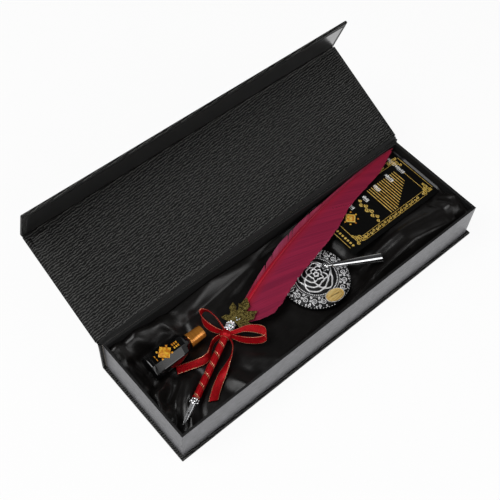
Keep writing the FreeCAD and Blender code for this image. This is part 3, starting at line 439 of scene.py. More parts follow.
def foiled_crystal():
    # Cut glass stones with a mirror foil behind: each facet is either white or dark
    made, tree, shader = material("foiled_crystal", Metallic=0.35, Coat_Weight=0.6, Coat_Roughness=0.02)
    place = add(tree, "TexCoord").outputs["Object"]
    cut = add(tree, "TexVoronoi", {"Vector": place, "Scale": per(1.3)}).outputs["Color"]
    tint = add(tree, "Mix", {0: 0.25, 6: linear("#fbfcff"), 7: cut}, data_type="RGBA").outputs[2]
    rough = add(tree, "MapRange", {"Value": cut, "To Min": 0.03, "To Max": 0.16}).outputs[0]
    join(tree, shader, Base_Color=tint, Roughness=rough)
    return made


def antique_bronze():
    # Stamped brass, darkened in its pits: olive gold specks on brown
    look = bpy.context.scene.gift_pen
    made, tree, shader = material("antique_bronze", Metallic=0.7)
    place = add(tree, "TexCoord").outputs["Object"]
    speck = add(tree, "TexVoronoi", {"Vector": place, "Scale": per(1.0)}).outputs[0]
    pit = add(tree, "TexNoise", {"Vector": place, "Scale": per(1.2), "Detail": 3.0}).outputs[0]
    both = add(tree, "Math", {0: speck, 1: pit}, operation="MULTIPLY").outputs[0]
    tint = add(tree, "ValToRGB", {0: both}, ramp=[(0.08, look.bronze), (0.26, linear("#6b5c28")),
                                                  (0.42, linear("#2c2410"))]).outputs[0]
    rough = add(tree, "MapRange", {"Value": pit, "To Min": 0.35, "To Max": 0.6}).outputs[0]
    relief = add(tree, "Bump", {"Strength": 0.8, "Distance": 0.25 * MM, "Height": both}).outputs[0]
    join(tree, shader, Base_Color=tint, Roughness=rough, Normal=relief)
    return made


def ink_glass():
    # Moulded glass full of black ink: a black body under a sharp, slightly wavy gloss
    return grained("ink_glass", 9, None, (0.02, 0.08), (0.12, 0.3), 1.0, Base_Color=linear("#050506"),
                   IOR=1.52, Coat_Weight=0.3)


def lacquered_label():
    # Black label under clear lacquer: as deep and sharp a black as the glass beside it
    return grained("lacquered_label", 5, [(0.3, "#050505"), (0.8, "#0b0b0b")], (0.05, 0.14),
                   Specular_IOR_Level=0.4)


def cap_metal():
    # Anodised aluminium, turned: rings round the axis, drawn coarse to show, under a copper gold dye
    dye = bpy.context.scene.gift_set.cap
    return grained("anodised_aluminium", 0.6, [(0.3, shade(dye, 0.7)), (0.7, dye)], (0.12, 0.24),
                   drawn_out=(1, 0.02, 0.02), Metallic=0.5)


def gold_foil():
    # Hot-stamped gold foil: bright, with small breaks where it didn't take
    foil = bpy.context.scene.gift_set.foil
    return grained("gold_foil", 1.5, [(0.3, "#a8822e"), (0.5, foil), (0.75, "#f6dc8c")], (0.26, 0.5),
                   detail=3.0, Metallic=0.12)


def amber_foil():
    # Warm lacquered foil of the bottle's label
    return grained("amber_foil", 2.2, [(0.3, "#b8641a"), (0.5, "#e29a24"), (0.72, "#f6cf4a")], (0.25, 0.45),
                   Metallic=0.15)


def white_ink():
    # Screen-printed white ink, a little thin in places
    return grained("white_ink", 1.2, [(0.35, "#8c8c8c"), (0.55, "#f4f4f2")], Roughness=0.5)


def brushed_brass():
    # Lacquered brass, brushed along the plate, with lines drawn coarse enough to show
    return grained("brushed_brass", 0.8, [(0.3, "#dcab4c"), (0.7, "#fbe09a")], (0.22, 0.36),
                   drawn_out=(0.05, 1, 1), Metallic=0.25)


def bright_chrome():
    # Chrome plate on brass: nearly a mirror, with a slight haze
    return grained("bright_chrome", 6, [(0.3, "#d9dadc"), (0.7, "#f3f3f4")], (0.04, 0.12), Metallic=1.0)


def black_card():
    # Black art card: smooth, dull coat with a little tooth
    return grained("black_card", 0.9, [(0.3, "#070707"), (0.8, "#0e0e0d")], (0.4, 0.52), (0.12, 0.05), 3.0,
                   Specular_IOR_Level=0.12)


def inner_stuff(name, dark, light, cell, rough, metallic=0.0):
    """A plain inner material: two tones in cells of its own grain."""
    return grained(name, cell, [(0.3, dark), (0.75, light)], bump=(0.3, 0.1), detail=4.0, Roughness=rough,
                   Metallic=metallic)


def piece(name, bm, make, body, slot, nodes=(), place=UNMOVED, sharp=35):
    """Turns a bmesh into a finished object that rides on a body and stands for its solids."""
    bm.transform(place)
    mesh = bpy.data.meshes.new(name)
    bm.to_mesh(mesh)
    bm.free()
    for one in make if isinstance(make, (list, tuple)) else [make]:
        mesh.materials.append(finish(one))
    mesh.shade_smooth()
    if sharp < 180:
        mesh.set_sharp_from_angle(angle=math.radians(sharp))
    made = bpy.data.objects.new(name, mesh)
    bpy.context.scene.collection.objects.link(made)
    if body:
        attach(made, body)
    if nodes:
        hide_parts(*nodes)
    return made


def thicken(made, thickness, offset=0.0):
    wall = made.modifiers.new("thickness", "SOLIDIFY")
    wall.thickness = thickness
    wall.offset = offset
    return made


def merged(node):
    """A copy of a node's mesh with its points joined and its flat faces whole."""
    bm = bmesh.new()
    bm.from_mesh(NODES[node].data)
    bmesh.ops.remove_doubles(bm, verts=bm.verts, dist=0.005 * MM)
    bmesh.ops.dissolve_limit(bm, angle_limit=math.radians(0.5), verts=bm.verts, edges=bm.edges)
    bm.normal_update()
    return bm


def broad(face):
    """Tells a panel's face from the thin edge of a paper."""
    return face.calc_area() / max(edge.calc_length() for edge in face.edges) > 1.2 * MM


def round_edges(bm, width, segments=3):
    """Rounds the outward edges between broad faces, and leaves paper edges as they are."""
    edges = [e for e in bm.edges if e.is_manifold and e.calc_face_angle_signed(0) > math.radians(40)
             and all(broad(f) for f in e.link_faces)]
    bmesh.ops.bevel(bm, geom=edges, offset=width, offset_type="OFFSET", affect="EDGES", segments=segments,
                    profile=0.5, material=-1)


def panel_uv(bm):
    """UV in metres on the panel's own faces, so that a pattern runs along the box on each."""
    bm.normal_update()
    layer = bm.loops.layers.uv.verify()
    for face in bm.faces:
        flat = max(range(3), key=lambda axis: abs(face.normal[axis]))
        a, b = [axis for axis in range(3) if axis != flat]
        for loop in face.loops:
            loop[layer].uv = (loop.vert.co[a], loop.vert.co[b])


def map_uv(bm, mark):
    """A UV map worked out from where each point is."""
    layer = bm.loops.layers.uv.verify()
    for face in bm.faces:
        for loop in face.loops:
            loop[layer].uv = mark(loop.vert.co)


def new_points(result):
    """The points that an operator has just made."""
    return [one for one in result["geom"] if isinstance(one, bmesh.types.BMVert)]


def sheet_of(columns, rows, shape, mark=None):
    """A grid with a UV map, each point put in place by shape(u, v) for its shares along and across."""
    bm = bmesh.new()
    layer = bm.loops.layers.uv.new("UVMap")
    bmesh.ops.create_grid(bm, x_segments=columns, y_segments=rows, size=0.5)
    shares = {v: (v.co.x + 0.5, v.co.y + 0.5) for v in bm.verts}
    for face in bm.faces:
        for loop in face.loops:
            u, v = shares[loop.vert]
            loop[layer].uv = mark(u, v) if mark else (u, v)
    for vert, (u, v) in shares.items():
        vert.co = shape(u, v)
    return bm


def through(points, share):
    """A point on the smooth line through points, at a share of its way."""
    at = max(0.0, min(1.0, share)) * (len(points) - 1)
    step = min(int(at), len(points) - 2)
    t = at - step
    a, b, c, d = (points[max(0, min(len(points) - 1, step + k))] for k in (-1, 0, 1, 2))
    return (b * 2 + (c - a) * t + (a * 2 - b * 5 + c * 4 - d) * t * t + (b * 3 - a - c * 3 + d) * t ** 3) / 2


def ease(low, high, value):
    t = max(0.0, min(1.0, (value - low) / (high - low)))
    return t * t * (3 - 2 * t)


def wires(bm, paths, sides=1, fineness=3, cyclic=False, straight=False):
    """Adds round wires along smooth lines. A path is a list of points, each with the wire's radius there."""
    line = bpy.data.curves.new("wire", "CURVE")
    line.dimensions = "3D"
    line.bevel_depth = 1.0
    line.bevel_resolution = sides
    line.use_fill_caps = not cyclic
    for path in paths:
        spline = line.splines.new("POLY" if straight else "NURBS")
        spline.points.add(len(path) - 1)
        for point, (place, radius) in zip(spline.points, path):
            point.co = (*place, 1.0)
            point.radius = radius
        spline.order_u = min(4, len(path))
        spline.use_endpoint_u = not cyclic
        spline.use_cyclic_u = cyclic
        spline.resolution_u = fineness
    holder = bpy.data.objects.new("wire", line)
    mesh = bpy.data.meshes.new_from_object(holder)
    bm.from_mesh(mesh)
    bpy.data.objects.remove(holder)
    bpy.data.curves.remove(line)
    bpy.data.meshes.remove(mesh)


def turned(profile, steps, axis="Z"):
    """A form turned about an axis from points given as radius, height."""
    bm = bmesh.new()
    verts = [bm.verts.new((r, 0, z)) for r, z in profile]
    edges = [bm.edges.new(pair) for pair in zip(verts, verts[1:])]
    bmesh.ops.spin(bm, geom=verts + edges, cent=(0, 0, 0), axis=(0, 0, 1), angle=math.tau, steps=steps,
                   use_merge=True)
    bmesh.ops.remove_doubles(bm, verts=bm.verts, dist=1e-5)
    bmesh.ops.recalc_face_normals(bm, faces=bm.faces)
    if axis == "X":
        bm.transform(Matrix.Rotation(math.pi / 2, 4, "Y"))
    return bm


def paint(made, mark):
    """Gives the faces of a shape just made one of the piece's materials."""
    for face in {f for v in made["verts"] for f in v.link_faces}:
        face.material_index = mark


def slab(bm, x, y, width, length, height, mark=0):
    """A thin printed bar that lies flat with its middle at x, y."""
    place = Matrix.Translation((x, y, height / 2)) @ Matrix.Diagonal((width, length, height, 1))
    paint(bmesh.ops.create_cube(bm, size=1, matrix=place), mark)


def dot(bm, x, y, radius, height, mark=0):
    """A small printed dot."""
    made = bmesh.ops.create_cone(bm, cap_ends=True, segments=12, radius1=radius, radius2=radius * 0.86,
                                 depth=height, matrix=Matrix.Translation((x, y, height / 2)))
    paint(made, mark)


def curl(x, y, size, start, turns, wire, steps=14):
    """A scroll that winds in from its outer end."""
    path = []
    for step in range(steps + 1):
        t = step / steps
        reach = size * (1 - 0.82 * t)
        angle = start + turns * math.tau * t
        place = Vector((x + reach * math.cos(angle), y + reach * math.sin(angle), 0))
        path.append((place, wire * (1 - 0.35 * t)))
    return path


def dress(node, make):
    """Gives a CAD node its finish; its mesh stays as it is."""
    made = NODES[node]
    if not made.material_slots:
        made.data.materials.append(None)
    for one in made.material_slots:
        one.material = finish(make)


class GIFT_OT_case(bpy.types.Operator):
    """Paper covers, linings and paper hinges of the case"""
    bl_idname = "gift.case"
    bl_label = "Case"

    def execute(self, context):
        look = context.scene.gift_case
        covers = [("base_cover", "base_wrap", UNMOVED, "box", leatherette_paper, "case_paper"),
                  ("spine_cover", "spine_wrap", UNMOVED, "box", leatherette_paper, "case_paper"),
                  ("lid_cover", "lid_wrap", LID, "lid", leatherette_paper, "case_paper"),
                  ("flap_cover", "flap_wrap", FLAP, "flap", leatherette_paper, "case_paper"),
                  ("lid_lining_paper", "lid_liner", LID, "lid", leatherette_paper, "case_liner"),
                  ("flap_lining_paper", "flap_liner", FLAP, "flap", coated_paper, "case_liner")]
        for name, node, place, body, make, slot in covers:
            bm = merged(node)
            bm.transform(place.inverted())
            if node == "lid_liner":
                self.step_over(bm)
            round_edges(bm, look.edge)
            panel_uv(bm)
            piece(name, bm, make, body, slot, [node], place)
        self.spine_ends()
        self.fold("hinge_fold", "lid_hinge", "box", "lid", UNMOVED, LID,
                  [(-0.125, -1.6), (-0.125, -0.7), (0.0, -0.25), (0.02, 0.12), (-0.42, 0.55), (-1.1, 1.2)])
        self.fold("flap_fold", "flap_hinge", "lid", "flap", LID, FLAP,
                  [(1.7, -0.125), (0.75, -0.125), (0.3, 0.0), (0.0, -0.3), (0.125, -0.75), (0.125, -1.7)])
        self.fold("hinge_lining", "lid_hinge", "box", "lid", UNMOVED, LID,
                  [(-2.2, -1.42), (-1.6, -1.36), (-1.0, -1.3), (-1.0, -1.2), (-1.2, -1.18), (-1.7, -1.16)],
                  black_paper, "case_liner", 1.5 * MM)
        return {"FINISHED"}

    def spine_ends(self):
        """The cover's flaps, folded round the ends of the spine board as far as the tray."""
        low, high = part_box("spine_board")
        room = high.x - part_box("tray_wrap")[1].x
        paper = 0.3 * MM
        size = high - low + Vector((0, paper, paper))
        fold = Matrix.Diagonal((room - paper, size.y, size.z, 1))
        bm = bmesh.new()
        for x, out in ((low.x + room / 2, -1), (high.x - room / 2, 1)):
            at = Vector((x + out * paper, (low.y + high.y) / 2, (low.z + high.z) / 2))
            bmesh.ops.create_cube(bm, size=1, matrix=Matrix.Translation(at) @ fold)
        round_edges(bm, 0.1 * MM, 2)
        panel_uv(bm)
        piece("spine_end_flaps", bm, leatherette_paper, "box", "case_paper")

    def step_over(self, bm):
        """The lining shows a faint line where it climbs onto the cover's turned-in ends."""
        end = max(v.co.x for v in bm.verts) - 14.6 * MM
        for side in (-1, 1):
            for at in (end, end + 0.8 * MM):
                bmesh.ops.bisect_plane(bm, geom=bm.verts[:] + bm.edges[:] + bm.faces[:], dist=1e-7,
                                       plane_co=(side * at, 0, 0), plane_no=(1, 0, 0))
        for vert in bm.verts:
            if abs(vert.co.x) > end + 0.5 * MM:
                vert.co.z -= 0.2 * MM

    def fold(self, name, joint, first, second, first_place, second_place, points, make=leatherette_paper,
             slot="case_paper", inset=0.0):
        """A strip that bends at a paper hinge. Points are y and z from the hinge line, half on each side."""
        low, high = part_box("lid_wrap")
        pivot = first_place.inverted() @ Vector(JOINTS[joint]["pos_m"])
        line = []
        for count, (y, z) in enumerate(points):
            place = second_place if count >= len(points) / 2 else first_place
            line.append(place @ (pivot + Vector((0, y, z)) * MM))
        width = high.x - low.x - 2 * inset

        def shape(u, v):
            return through(line, v) + Vector((low.x + inset + u * width, 0, 0))

        bm = sheet_of(24, 20, shape, lambda u, v: (u * width, v * 6 * MM))
        made = thicken(piece(name, bm, make, None, slot), 0.22 * MM)
        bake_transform(made)


class GIFT_OT_tray(bpy.types.Operator):
    """Pearl paper sleeve and black lining of the tray"""
    bl_idname = "gift.tray"
    bl_label = "Tray"

    def execute(self, context):
        for name, node, make, slot in (("tray_sleeve", "tray_wrap", pearl_paper, "tray_paper"),
                                       ("tray_rim_paper", "tray_lining", black_paper, "tray_black")):
            bm = merged(node)
            round_edges(bm, context.scene.gift_case.edge)
            panel_uv(bm)
            piece(name, bm, make, "box", slot, [node])
        return {"FINISHED"}


# Folds of the satin in plan millimetres: points along the crest, half width, height
FOLDS = [
    ([(-160, 44), (-140, 40), (-127, 29)], 9, 6.0),
    ([(-138, 45), (-114, 41), (-109, 32), (-122, 30)], 6, 5.0),
    ([(-160, 30), (-150, 33), (-146, 28)], 5, 3.0),
    ([(-141, 2), (-157, -9), (-160, -20)], 5, 7.0),
    ([(-131, -6), (-146, -18), (-157, -31)], 4.5, 5.0),
    ([(-124, -9), (-139, -25), (-148, -40)], 5, 5.5),
    ([(-146, -3), (-161, -6)], 4, 4.0),
    ([(-98, -31), (-93, -42), (-85, -46)], 6, 2.5),
    ([(-72, -28), (-58, -40), (-40, -45)], 8, 2.0),
    ([(-92, 36), (-60, 44), (-20, 40)], 9, 3.0),
    ([(-70, 26), (-35, 34), (10, 45)], 7, 2.0),
    ([(18, -43), (54, -36), (101, -36), (140, -43)], 6, 6.0),
    ([(70, -20), (110, -24), (152, -32)], 10, 4.0),
    ([(155, -14), (161, -27), (156, -38)], 4, 4.5),
    ([(149, -17), (152, -28), (148, -43)], 4, 4.0),
    ([(161, 30), (160, 5), (161, -10)], 4, 3.0),
    ([(36, 40), (50, 30), (52, 12)], 7, 2.5),
]


def crest_distance(x, y, points):
    """Distance to a fold's crest, and the share of the way along it."""
    best, where = 1e9, 0.0
    spans = len(points) - 1
    for count in range(spans):
        (ax, ay), (bx, by) = points[count], points[count + 1]
        dx, dy = bx - ax, by - ay
        t = max(0.0, min(1.0, ((x - ax) * dx + (y - ay) * dy) / (dx * dx + dy * dy)))
        away = math.hypot(x - ax - t * dx, y - ay - t * dy)
        if away < best:
            best, where = away, (count + t) / spans
    return best, where


class GIFT_OT_satin(bpy.types.Operator):
    """Satin laid in the tray, with the folds that are pushed up round the set"""
    bl_idname = "gift.satin"
    bl_label = "Satin"

    def execute(self, context):
        look = context.scene.gift_satin
        low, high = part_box("satin_lining")
        size = high - low
        bed = self.tree(["satin_lining"])
        loose = ("pen", "bottle", "cap_seal", "cap", "stand", "holder", "card")
        items = self.tree([n for n, o in NODES.items() if o["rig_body"] in loose])
        columns, rows = look.columns, look.rows
        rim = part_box("tray_lining")[1].z
        height = [[0.0] * (rows + 1) for _ in range(columns + 1)]
        roof = [[rim - 1.5 * MM] * (rows + 1) for _ in range(columns + 1)]
        for i in range(columns + 1):
            for j in range(rows + 1):
                x = low.x + size.x * (0.0005 + 0.999 * i / columns)
                y = low.y + size.y * (0.0005 + 0.999 * j / rows)
                hit = bed.ray_cast(Vector((x, y, 1.0)), Vector((0, 0, -1)))[0]
                height[i][j] = hit.z + look.fold * self.folds(x / MM, y / MM) * MM
                under = items.ray_cast(Vector((x, y, low.z)), Vector((0, 0, 1)))[0]
                if under:
                    roof[i][j] = min(roof[i][j], under.z - 0.45 * MM)
        self.slope(roof, columns, rows, 0.75 * size.x / columns, 0.75 * size.y / rows)
        for _ in range(4):
            self.smooth(height, roof, columns, rows)

        def shape(u, v):
            i, j = round(u * columns), round(v * rows)
            return Vector((low.x + u * size.x, low.y + v * size.y, min(height[i][j], roof[i][j])))

        bm = sheet_of(columns, rows, shape, lambda u, v: (u * size.x, v * size.y))
        made = piece("satin_drape", bm, lining_satin, "box", "satin", ["satin_lining"], sharp=180)
        thicken(made, 0.4 * MM, -1.0)
        return {"FINISHED"}

    def tree(self, names):
        bm = bmesh.new()
        for name in names:
            bm.from_mesh(NODES[name].data)
        made = BVHTree.FromBMesh(bm)
        bm.free()
        return made

    def folds(self, x, y):
        total = 0.0
        for points, width, rise in FOLDS:
            away, where = crest_distance(x, y, points)
            if away < 2.4 * width:
                sharp = 1 / (1 + (away / (0.55 * width)) ** 2)
                swell = 0.35 + 0.65 * math.sin(math.pi * (0.1 + 0.8 * where))
                total += rise * sharp * ease(2.4 * width, width, away) * swell
                total -= 0.22 * rise * math.exp(-((away - 1.7 * width) / (0.6 * width)) ** 2)
        slack = 1.1 * noise.noise(Vector((x / 34, y / 26, 1.7)))
        return total + (slack + 0.5 * noise.noise(Vector((x / 13, y / 9, 5.1))))

    def slope(self, roof, columns, rows, along, across):
        """Lets the roof over the cloth climb away from what lies on it no faster than cloth can."""
        for turn in (1, -1):
            for i in range(columns + 1)[::turn]:
                for j in range(rows + 1)[::turn]:
                    for di, dj, rise in ((-turn, 0, along), (0, -turn, across)):
                        a, b = i + di, j + dj
                        if 0 <= a <= columns and 0 <= b <= rows:
                            roof[i][j] = min(roof[i][j], roof[a][b] + rise)

    def smooth(self, height, roof, columns, rows):
        for i in range(columns + 1):
            for j in range(rows + 1):
                height[i][j] = min(height[i][j], roof[i][j])
        old = [row[:] for row in height]
        for i in range(1, columns):
            for j in range(1, rows):
                mean = (old[i - 1][j] + old[i + 1][j] + old[i][j - 1] + old[i][j + 1]) / 4
                height[i][j] = 0.5 * old[i][j] + 0.5 * mean


class GIFT_OT_grip(bpy.types.Operator):
    """Nib, flower collar, wound barrel and crystal ferrule of the pen"""
    bl_idname = "gift.grip"
    bl_label = "Pen grip"

    def execute(self, context):
        dress("nib", nib_steel)
        bm = turned([(2.36, 18.6), (3.0, 18.6), (3.2, 19.0), (3.0, 19.6), (2.8, 20.2), (3.1, 22.6),
                     (3.2, 23.1), (3.0, 23.4), (2.36, 23.4), (2.36, 18.6)], 32, "X")
        for count in range(6):
            turn = Matrix.Rotation(math.pi / 3 * count + 0.26, 4, "X")
            at = turn @ Matrix.Translation((20.4, 0, 3.2)) @ Matrix.Diagonal((1.25, 1.15, 0.85, 1))
            bmesh.ops.create_uvsphere(bm, u_segments=12, v_segments=8, radius=1.2, matrix=at)
            at = turn @ Matrix.Translation((22.4, 0, 3.1)) @ Matrix.Rotation(0.5, 4, "Y")
            bmesh.ops.create_uvsphere(bm, u_segments=8, v_segments=6, radius=0.62, matrix=at)
        piece("collar_flower", bm, bright_chrome, "pen", "silver", ["lower_collar"], PEN, 50)
        self.winding()
        bm = turned([(1.96, 86.1), (3.3, 86.1), (3.5, 86.5), (3.3, 87.0), (3.1, 87.3), (3.1, 93.7),
                     (3.3, 94.0), (3.5, 94.4), (3.3, 94.9), (1.96, 94.9), (1.96, 86.1)], 32, "X")
        piece("ferrule_tube", bm, bright_chrome, "pen", "silver", ["upper_ferrule"], PEN, 50)
        bm = bmesh.new()
        for row in range(3):
            for count in range(9):
                turn = Matrix.Rotation(math.tau * (count + 0.5 * row) / 9, 4, "X")
                at = turn @ Matrix.Translation((88.1 + 2.4 * row, 0, 3.2)) @ Matrix.Diagonal((1, 1, 0.8, 1))
                bmesh.ops.create_icosphere(bm, subdivisions=1, radius=1.25, matrix=at)
        piece("ferrule_stones", bm, foiled_crystal, "pen", "silver", place=PEN, sharp=5)
        return {"FINISHED"}

    def winding(self):
        """The ribbon wound along the barrel, edge by edge, its ends tucked in square."""
        first, last, pitch, width = 23.6, 80.6, 9.6, 9.5
        turns = (last - first + width) / pitch
        lead = math.tau * turns

        def shape(u, v):
            angle = 2.6 - lead * u
            along = first - width / 2 + pitch * turns * u + (v - 0.5) * width
            held = max(first, min(last, along))
            radius = 2.78 + 0.1 * (1 - (2 * v - 1) ** 2)
            return Vector((held + 0.01 * (along - held), radius * math.cos(angle), radius * math.sin(angle)))

        bm = sheet_of(220, 6, shape, lambda u, v: (u * lead * 2.9 * MM, 0.5 + (v - 0.5) * 1.06))
        thicken(piece("barrel_wrap", bm, ribbon_satin, "pen", "ribbon", ["barrel_ribbon"], PEN), 0.3 * MM)


# Ribbon strips in the pen's millimetres: along, aside and up, the way across and half the width
LEFT_LOOP = [
    (83.6, 1.6, 1.6, 0.35, 0.0, 0.94, 2.2), (82.6, 7.5, 1.4, 0.45, 0.05, 0.89, 3.6),
    (83.0, 14.0, 1.4, 0.52, 0.1, 0.85, 4.4), (85.6, 21.0, 1.6, 0.45, 0.2, 0.87, 4.7),
    (90.2, 26.0, 2.2, 0.15, 0.35, 0.93, 4.7), (94.4, 25.6, 2.6, -0.15, 0.25, 0.95, 4.7),
    (95.4, 20.4, 2.6, -0.25, 0.05, 0.96, 4.6), (92.8, 13.2, 2.2, -0.2, 0.0, 0.98, 4.4),
    (88.4, 6.5, 1.8, 0.0, 0.0, 1.0, 3.4), (84.8, 1.4, 1.6, 0.2, 0.0, 0.98, 2.0)]
RIGHT_LOOP = [
    (83.6, -1.4, 2.2, 0.6, 0.1, 0.8, 2.0), (87.0, -6.6, 3.4, 0.82, -0.1, 0.56, 3.4),
    (92.0, -12.6, 4.4, 0.9, -0.15, 0.4, 4.4), (95.2, -20.4, 4.6, 0.92, -0.05, 0.38, 4.7),
    (96.4, -27.0, 3.6, 0.86, 0.25, 0.44, 4.7), (94.4, -30.2, 1.4, 0.7, 0.4, 0.6, 4.7),
    (90.8, -28.6, -0.2, 0.62, 0.2, 0.76, 4.6), (86.8, -21.6, -0.6, 0.6, -0.05, 0.8, 4.4),
    (84.0, -12.6, -0.2, 0.5, -0.1, 0.86, 4.0), (82.8, -2.0, 0.8, 0.4, 0.0, 0.92, 2.2)]
LEFT_TAIL = [
    (82.0, 1.2, 1.0, 0.2, 0.6, 0.78, 2.0), (78.6, 5.0, -0.6, 0.1, 0.5, 0.86, 3.0),
    (73.8, 7.2, -1.6, 0.05, 0.3, 0.95, 3.9), (68.0, 6.9, -2.0, -0.1, 0.25, 0.96, 4.3),
    (62.6, 6.0, -2.6, 0.05, 0.5, 0.86, 4.4), (58.2, 7.4, -3.8, 0.4, 0.72, 0.56, 4.5),
    (54.0, 11.0, -4.6, 0.68, 0.7, 0.2, 4.6), (48.6, 16.6, -4.6, 0.72, 0.69, 0.05, 4.6),
    (40.8, 24.4, -4.2, 0.78, 0.62, 0.0, 4.6)]
RIGHT_TAIL = [
    (82.2, -1.2, 1.0, -0.2, 0.6, 0.78, 2.0), (80.2, -5.4, -0.4, -0.2, 0.4, 0.9, 3.2),
    (76.2, -8.8, -1.4, -0.1, 0.1, 0.99, 4.2), (70.0, -10.4, -1.9, 0.05, -0.2, 0.98, 4.4),
    (63.4, -10.6, -2.4, 0.02, -0.5, 0.86, 4.5), (56.8, -10.4, -3.3, 0.0, -0.8, 0.6, 4.6),
    (49.0, -10.2, -4.2, 0.0, -0.97, 0.2, 4.7), (40.6, -10.6, -4.4, 0.04, -1.0, 0.04, 4.8),
    (33.6, -11.6, -4.2, 0.16, -0.98, 0.0, 4.8), (28.6, -12.6, -4.0, 0.55, -0.83, 0.0, 5.2)]


# Visible width of the ribbon: a share of the strips' drawn one, and flat
RIBBON_SHARE = 0.76


class GIFT_OT_bow(bpy.types.Operator):
    """Bow of satin ribbon: knot, two loops and two tails"""
    bl_idname = "gift.bow"
    bl_label = "Bow"

    def execute(self, context):
        self.strip("left_loop_ribbon", LEFT_LOOP, "bow_loop_left", 0.062)
        self.strip("right_loop_ribbon", RIGHT_LOOP, "bow_loop_right", 0.066)
        self.strip("left_tail_ribbon", LEFT_TAIL, "bow_tail_left", 0.054)
        self.strip("right_tail_ribbon", RIGHT_TAIL, "bow_tail_right", 0.059)
        self.knot()
        return {"FINISHED"}

    def strip(self, name, table, node, length):
        places = [Vector(row[:3]) for row in table]
        across = [Vector(row[3:6]).normalized() for row in table]
        halves = [Vector((row[6], 0, 0)) for row in table]

        def shape(u, v):
            reach = RIBBON_SHARE * through(halves, u).x * (2 * v - 1)
            crown = 0.35 * (1 - (2 * v - 1) ** 2)
            way = through(places, u + 0.01) - through(places, u - 0.01)
            aside = through(across, u).normalized()
            lift = way.cross(aside).normalized() * crown
            ripple = 0.22 * math.sin(21 * u + 2.0 * v)
            return through(places, u) + aside * reach + lift * (1 + ripple)

        bm = sheet_of(96, 8, shape, lambda u, v: (u * length, v))
        made = piece(name, bm, ribbon_satin, "pen", "ribbon", [node], PEN, 180)
        thicken(made, 0.3 * MM)

    def knot(self):
        """The ribbon's middle, pulled round the barrel in soft pleats."""
        bm = turned([(2.75, 79.7), (3.5, 79.5), (4.3, 80.4), (4.7, 81.6), (4.85, 82.8), (4.7, 84.0),
                     (4.3, 85.0), (3.5, 85.8), (2.75, 85.7)], 40, "X")
        for vert in bm.verts:
            angle = math.atan2(vert.co.z, vert.co.y)
            pleat = 1 + 0.05 * math.sin(9 * angle + 1.2 * vert.co.x) + 0.04 * math.sin(3 * angle + 0.7)
            vert.co.y *= pleat
            vert.co.z *= pleat
        map_uv(bm, lambda co: (math.atan2(co.z, co.y) * 4.5 * MM, (co.x - 79.2) / 6.9))
        thicken(piece("bow_knot_wrap", bm, ribbon_satin, "pen", "ribbon", ["bow_knot"], PEN, 60), 0.2 * MM)


# The quill's bend: where it starts along the pen, its first slant, its radius and its length
QUILL_START, QUILL_SLANT, QUILL_RADIUS, QUILL_LENGTH = 95.0, math.radians(6.5), 636.0, 232.6
# Edges of the vanes and sway of the stem: share of the quill, millimetres from its even bend
WIDE_OUTLINE = [
    (0.012, 2.0), (0.03, 12.0), (0.055, 18.0), (0.082, 22.5), (0.11, 25.4), (0.155, 26.2), (0.228, 25.2),
    (0.31, 24.6), (0.43, 24.9), (0.494, 24.0), (0.575, 21.6), (0.653, 16.4), (0.716, 14.4), (0.774, 13.0),
    (0.826, 11.8), (0.871, 10.2), (0.912, 7.0), (0.953, 3.4), (0.985, 0.4)]
NARROW_OUTLINE = [
    (0.05, 1.0), (0.114, 1.6), (0.15, 2.4), (0.2, 3.6), (0.31, 5.6), (0.363, 6.8), (0.41, 6.2),
    (0.48, 6.0), (0.525, 5.4), (0.58, 4.2), (0.63, 3.6), (0.72, 3.2), (0.84, 2.9), (0.93, 2.3),
    (0.985, 1.0)]
STEM_SWAY = [(0.0, 0.0), (0.1, -1.0), (0.2, 0.0), (0.4, 1.0), (0.6, 1.5), (0.95, 1.5), (1.0, 1.2)]
# Splits between barbs: place along the pen and width at the edge, in millimetres
WIDE_SPLITS = [(226, 0.5)]
NARROW_SPLITS = [
    (134, 0.6), (148, 1.4), (158, 0.8), (183, 1.0), (189, 0.7), (214, 0.9), (232, 1.3), (250, 0.8)]
BARB_SLANT = 1 / math.tan(math.radians(32))


def quill_point(share, sway=0.0):
    """A point of the stem in the pen's plane, and the way to its left."""
    angle = QUILL_SLANT + share * QUILL_LENGTH / QUILL_RADIUS
    left = Vector((math.sin(angle), math.cos(angle), 0))
    x = QUILL_START + QUILL_RADIUS * (math.sin(angle) - math.sin(QUILL_SLANT))
    y = QUILL_RADIUS * (math.cos(angle) - math.cos(QUILL_SLANT))
    return Vector((x, y, 0)) + left * sway, left


def outline(table, share):
    """What a table gives at a share of the quill, even between its rows."""
    for (a, low), (b, high) in zip(table, table[1:]):
        if share <= b:
            return low + (high - low) * max(0.0, (share - a) / (b - a))
    return table[-1][1]


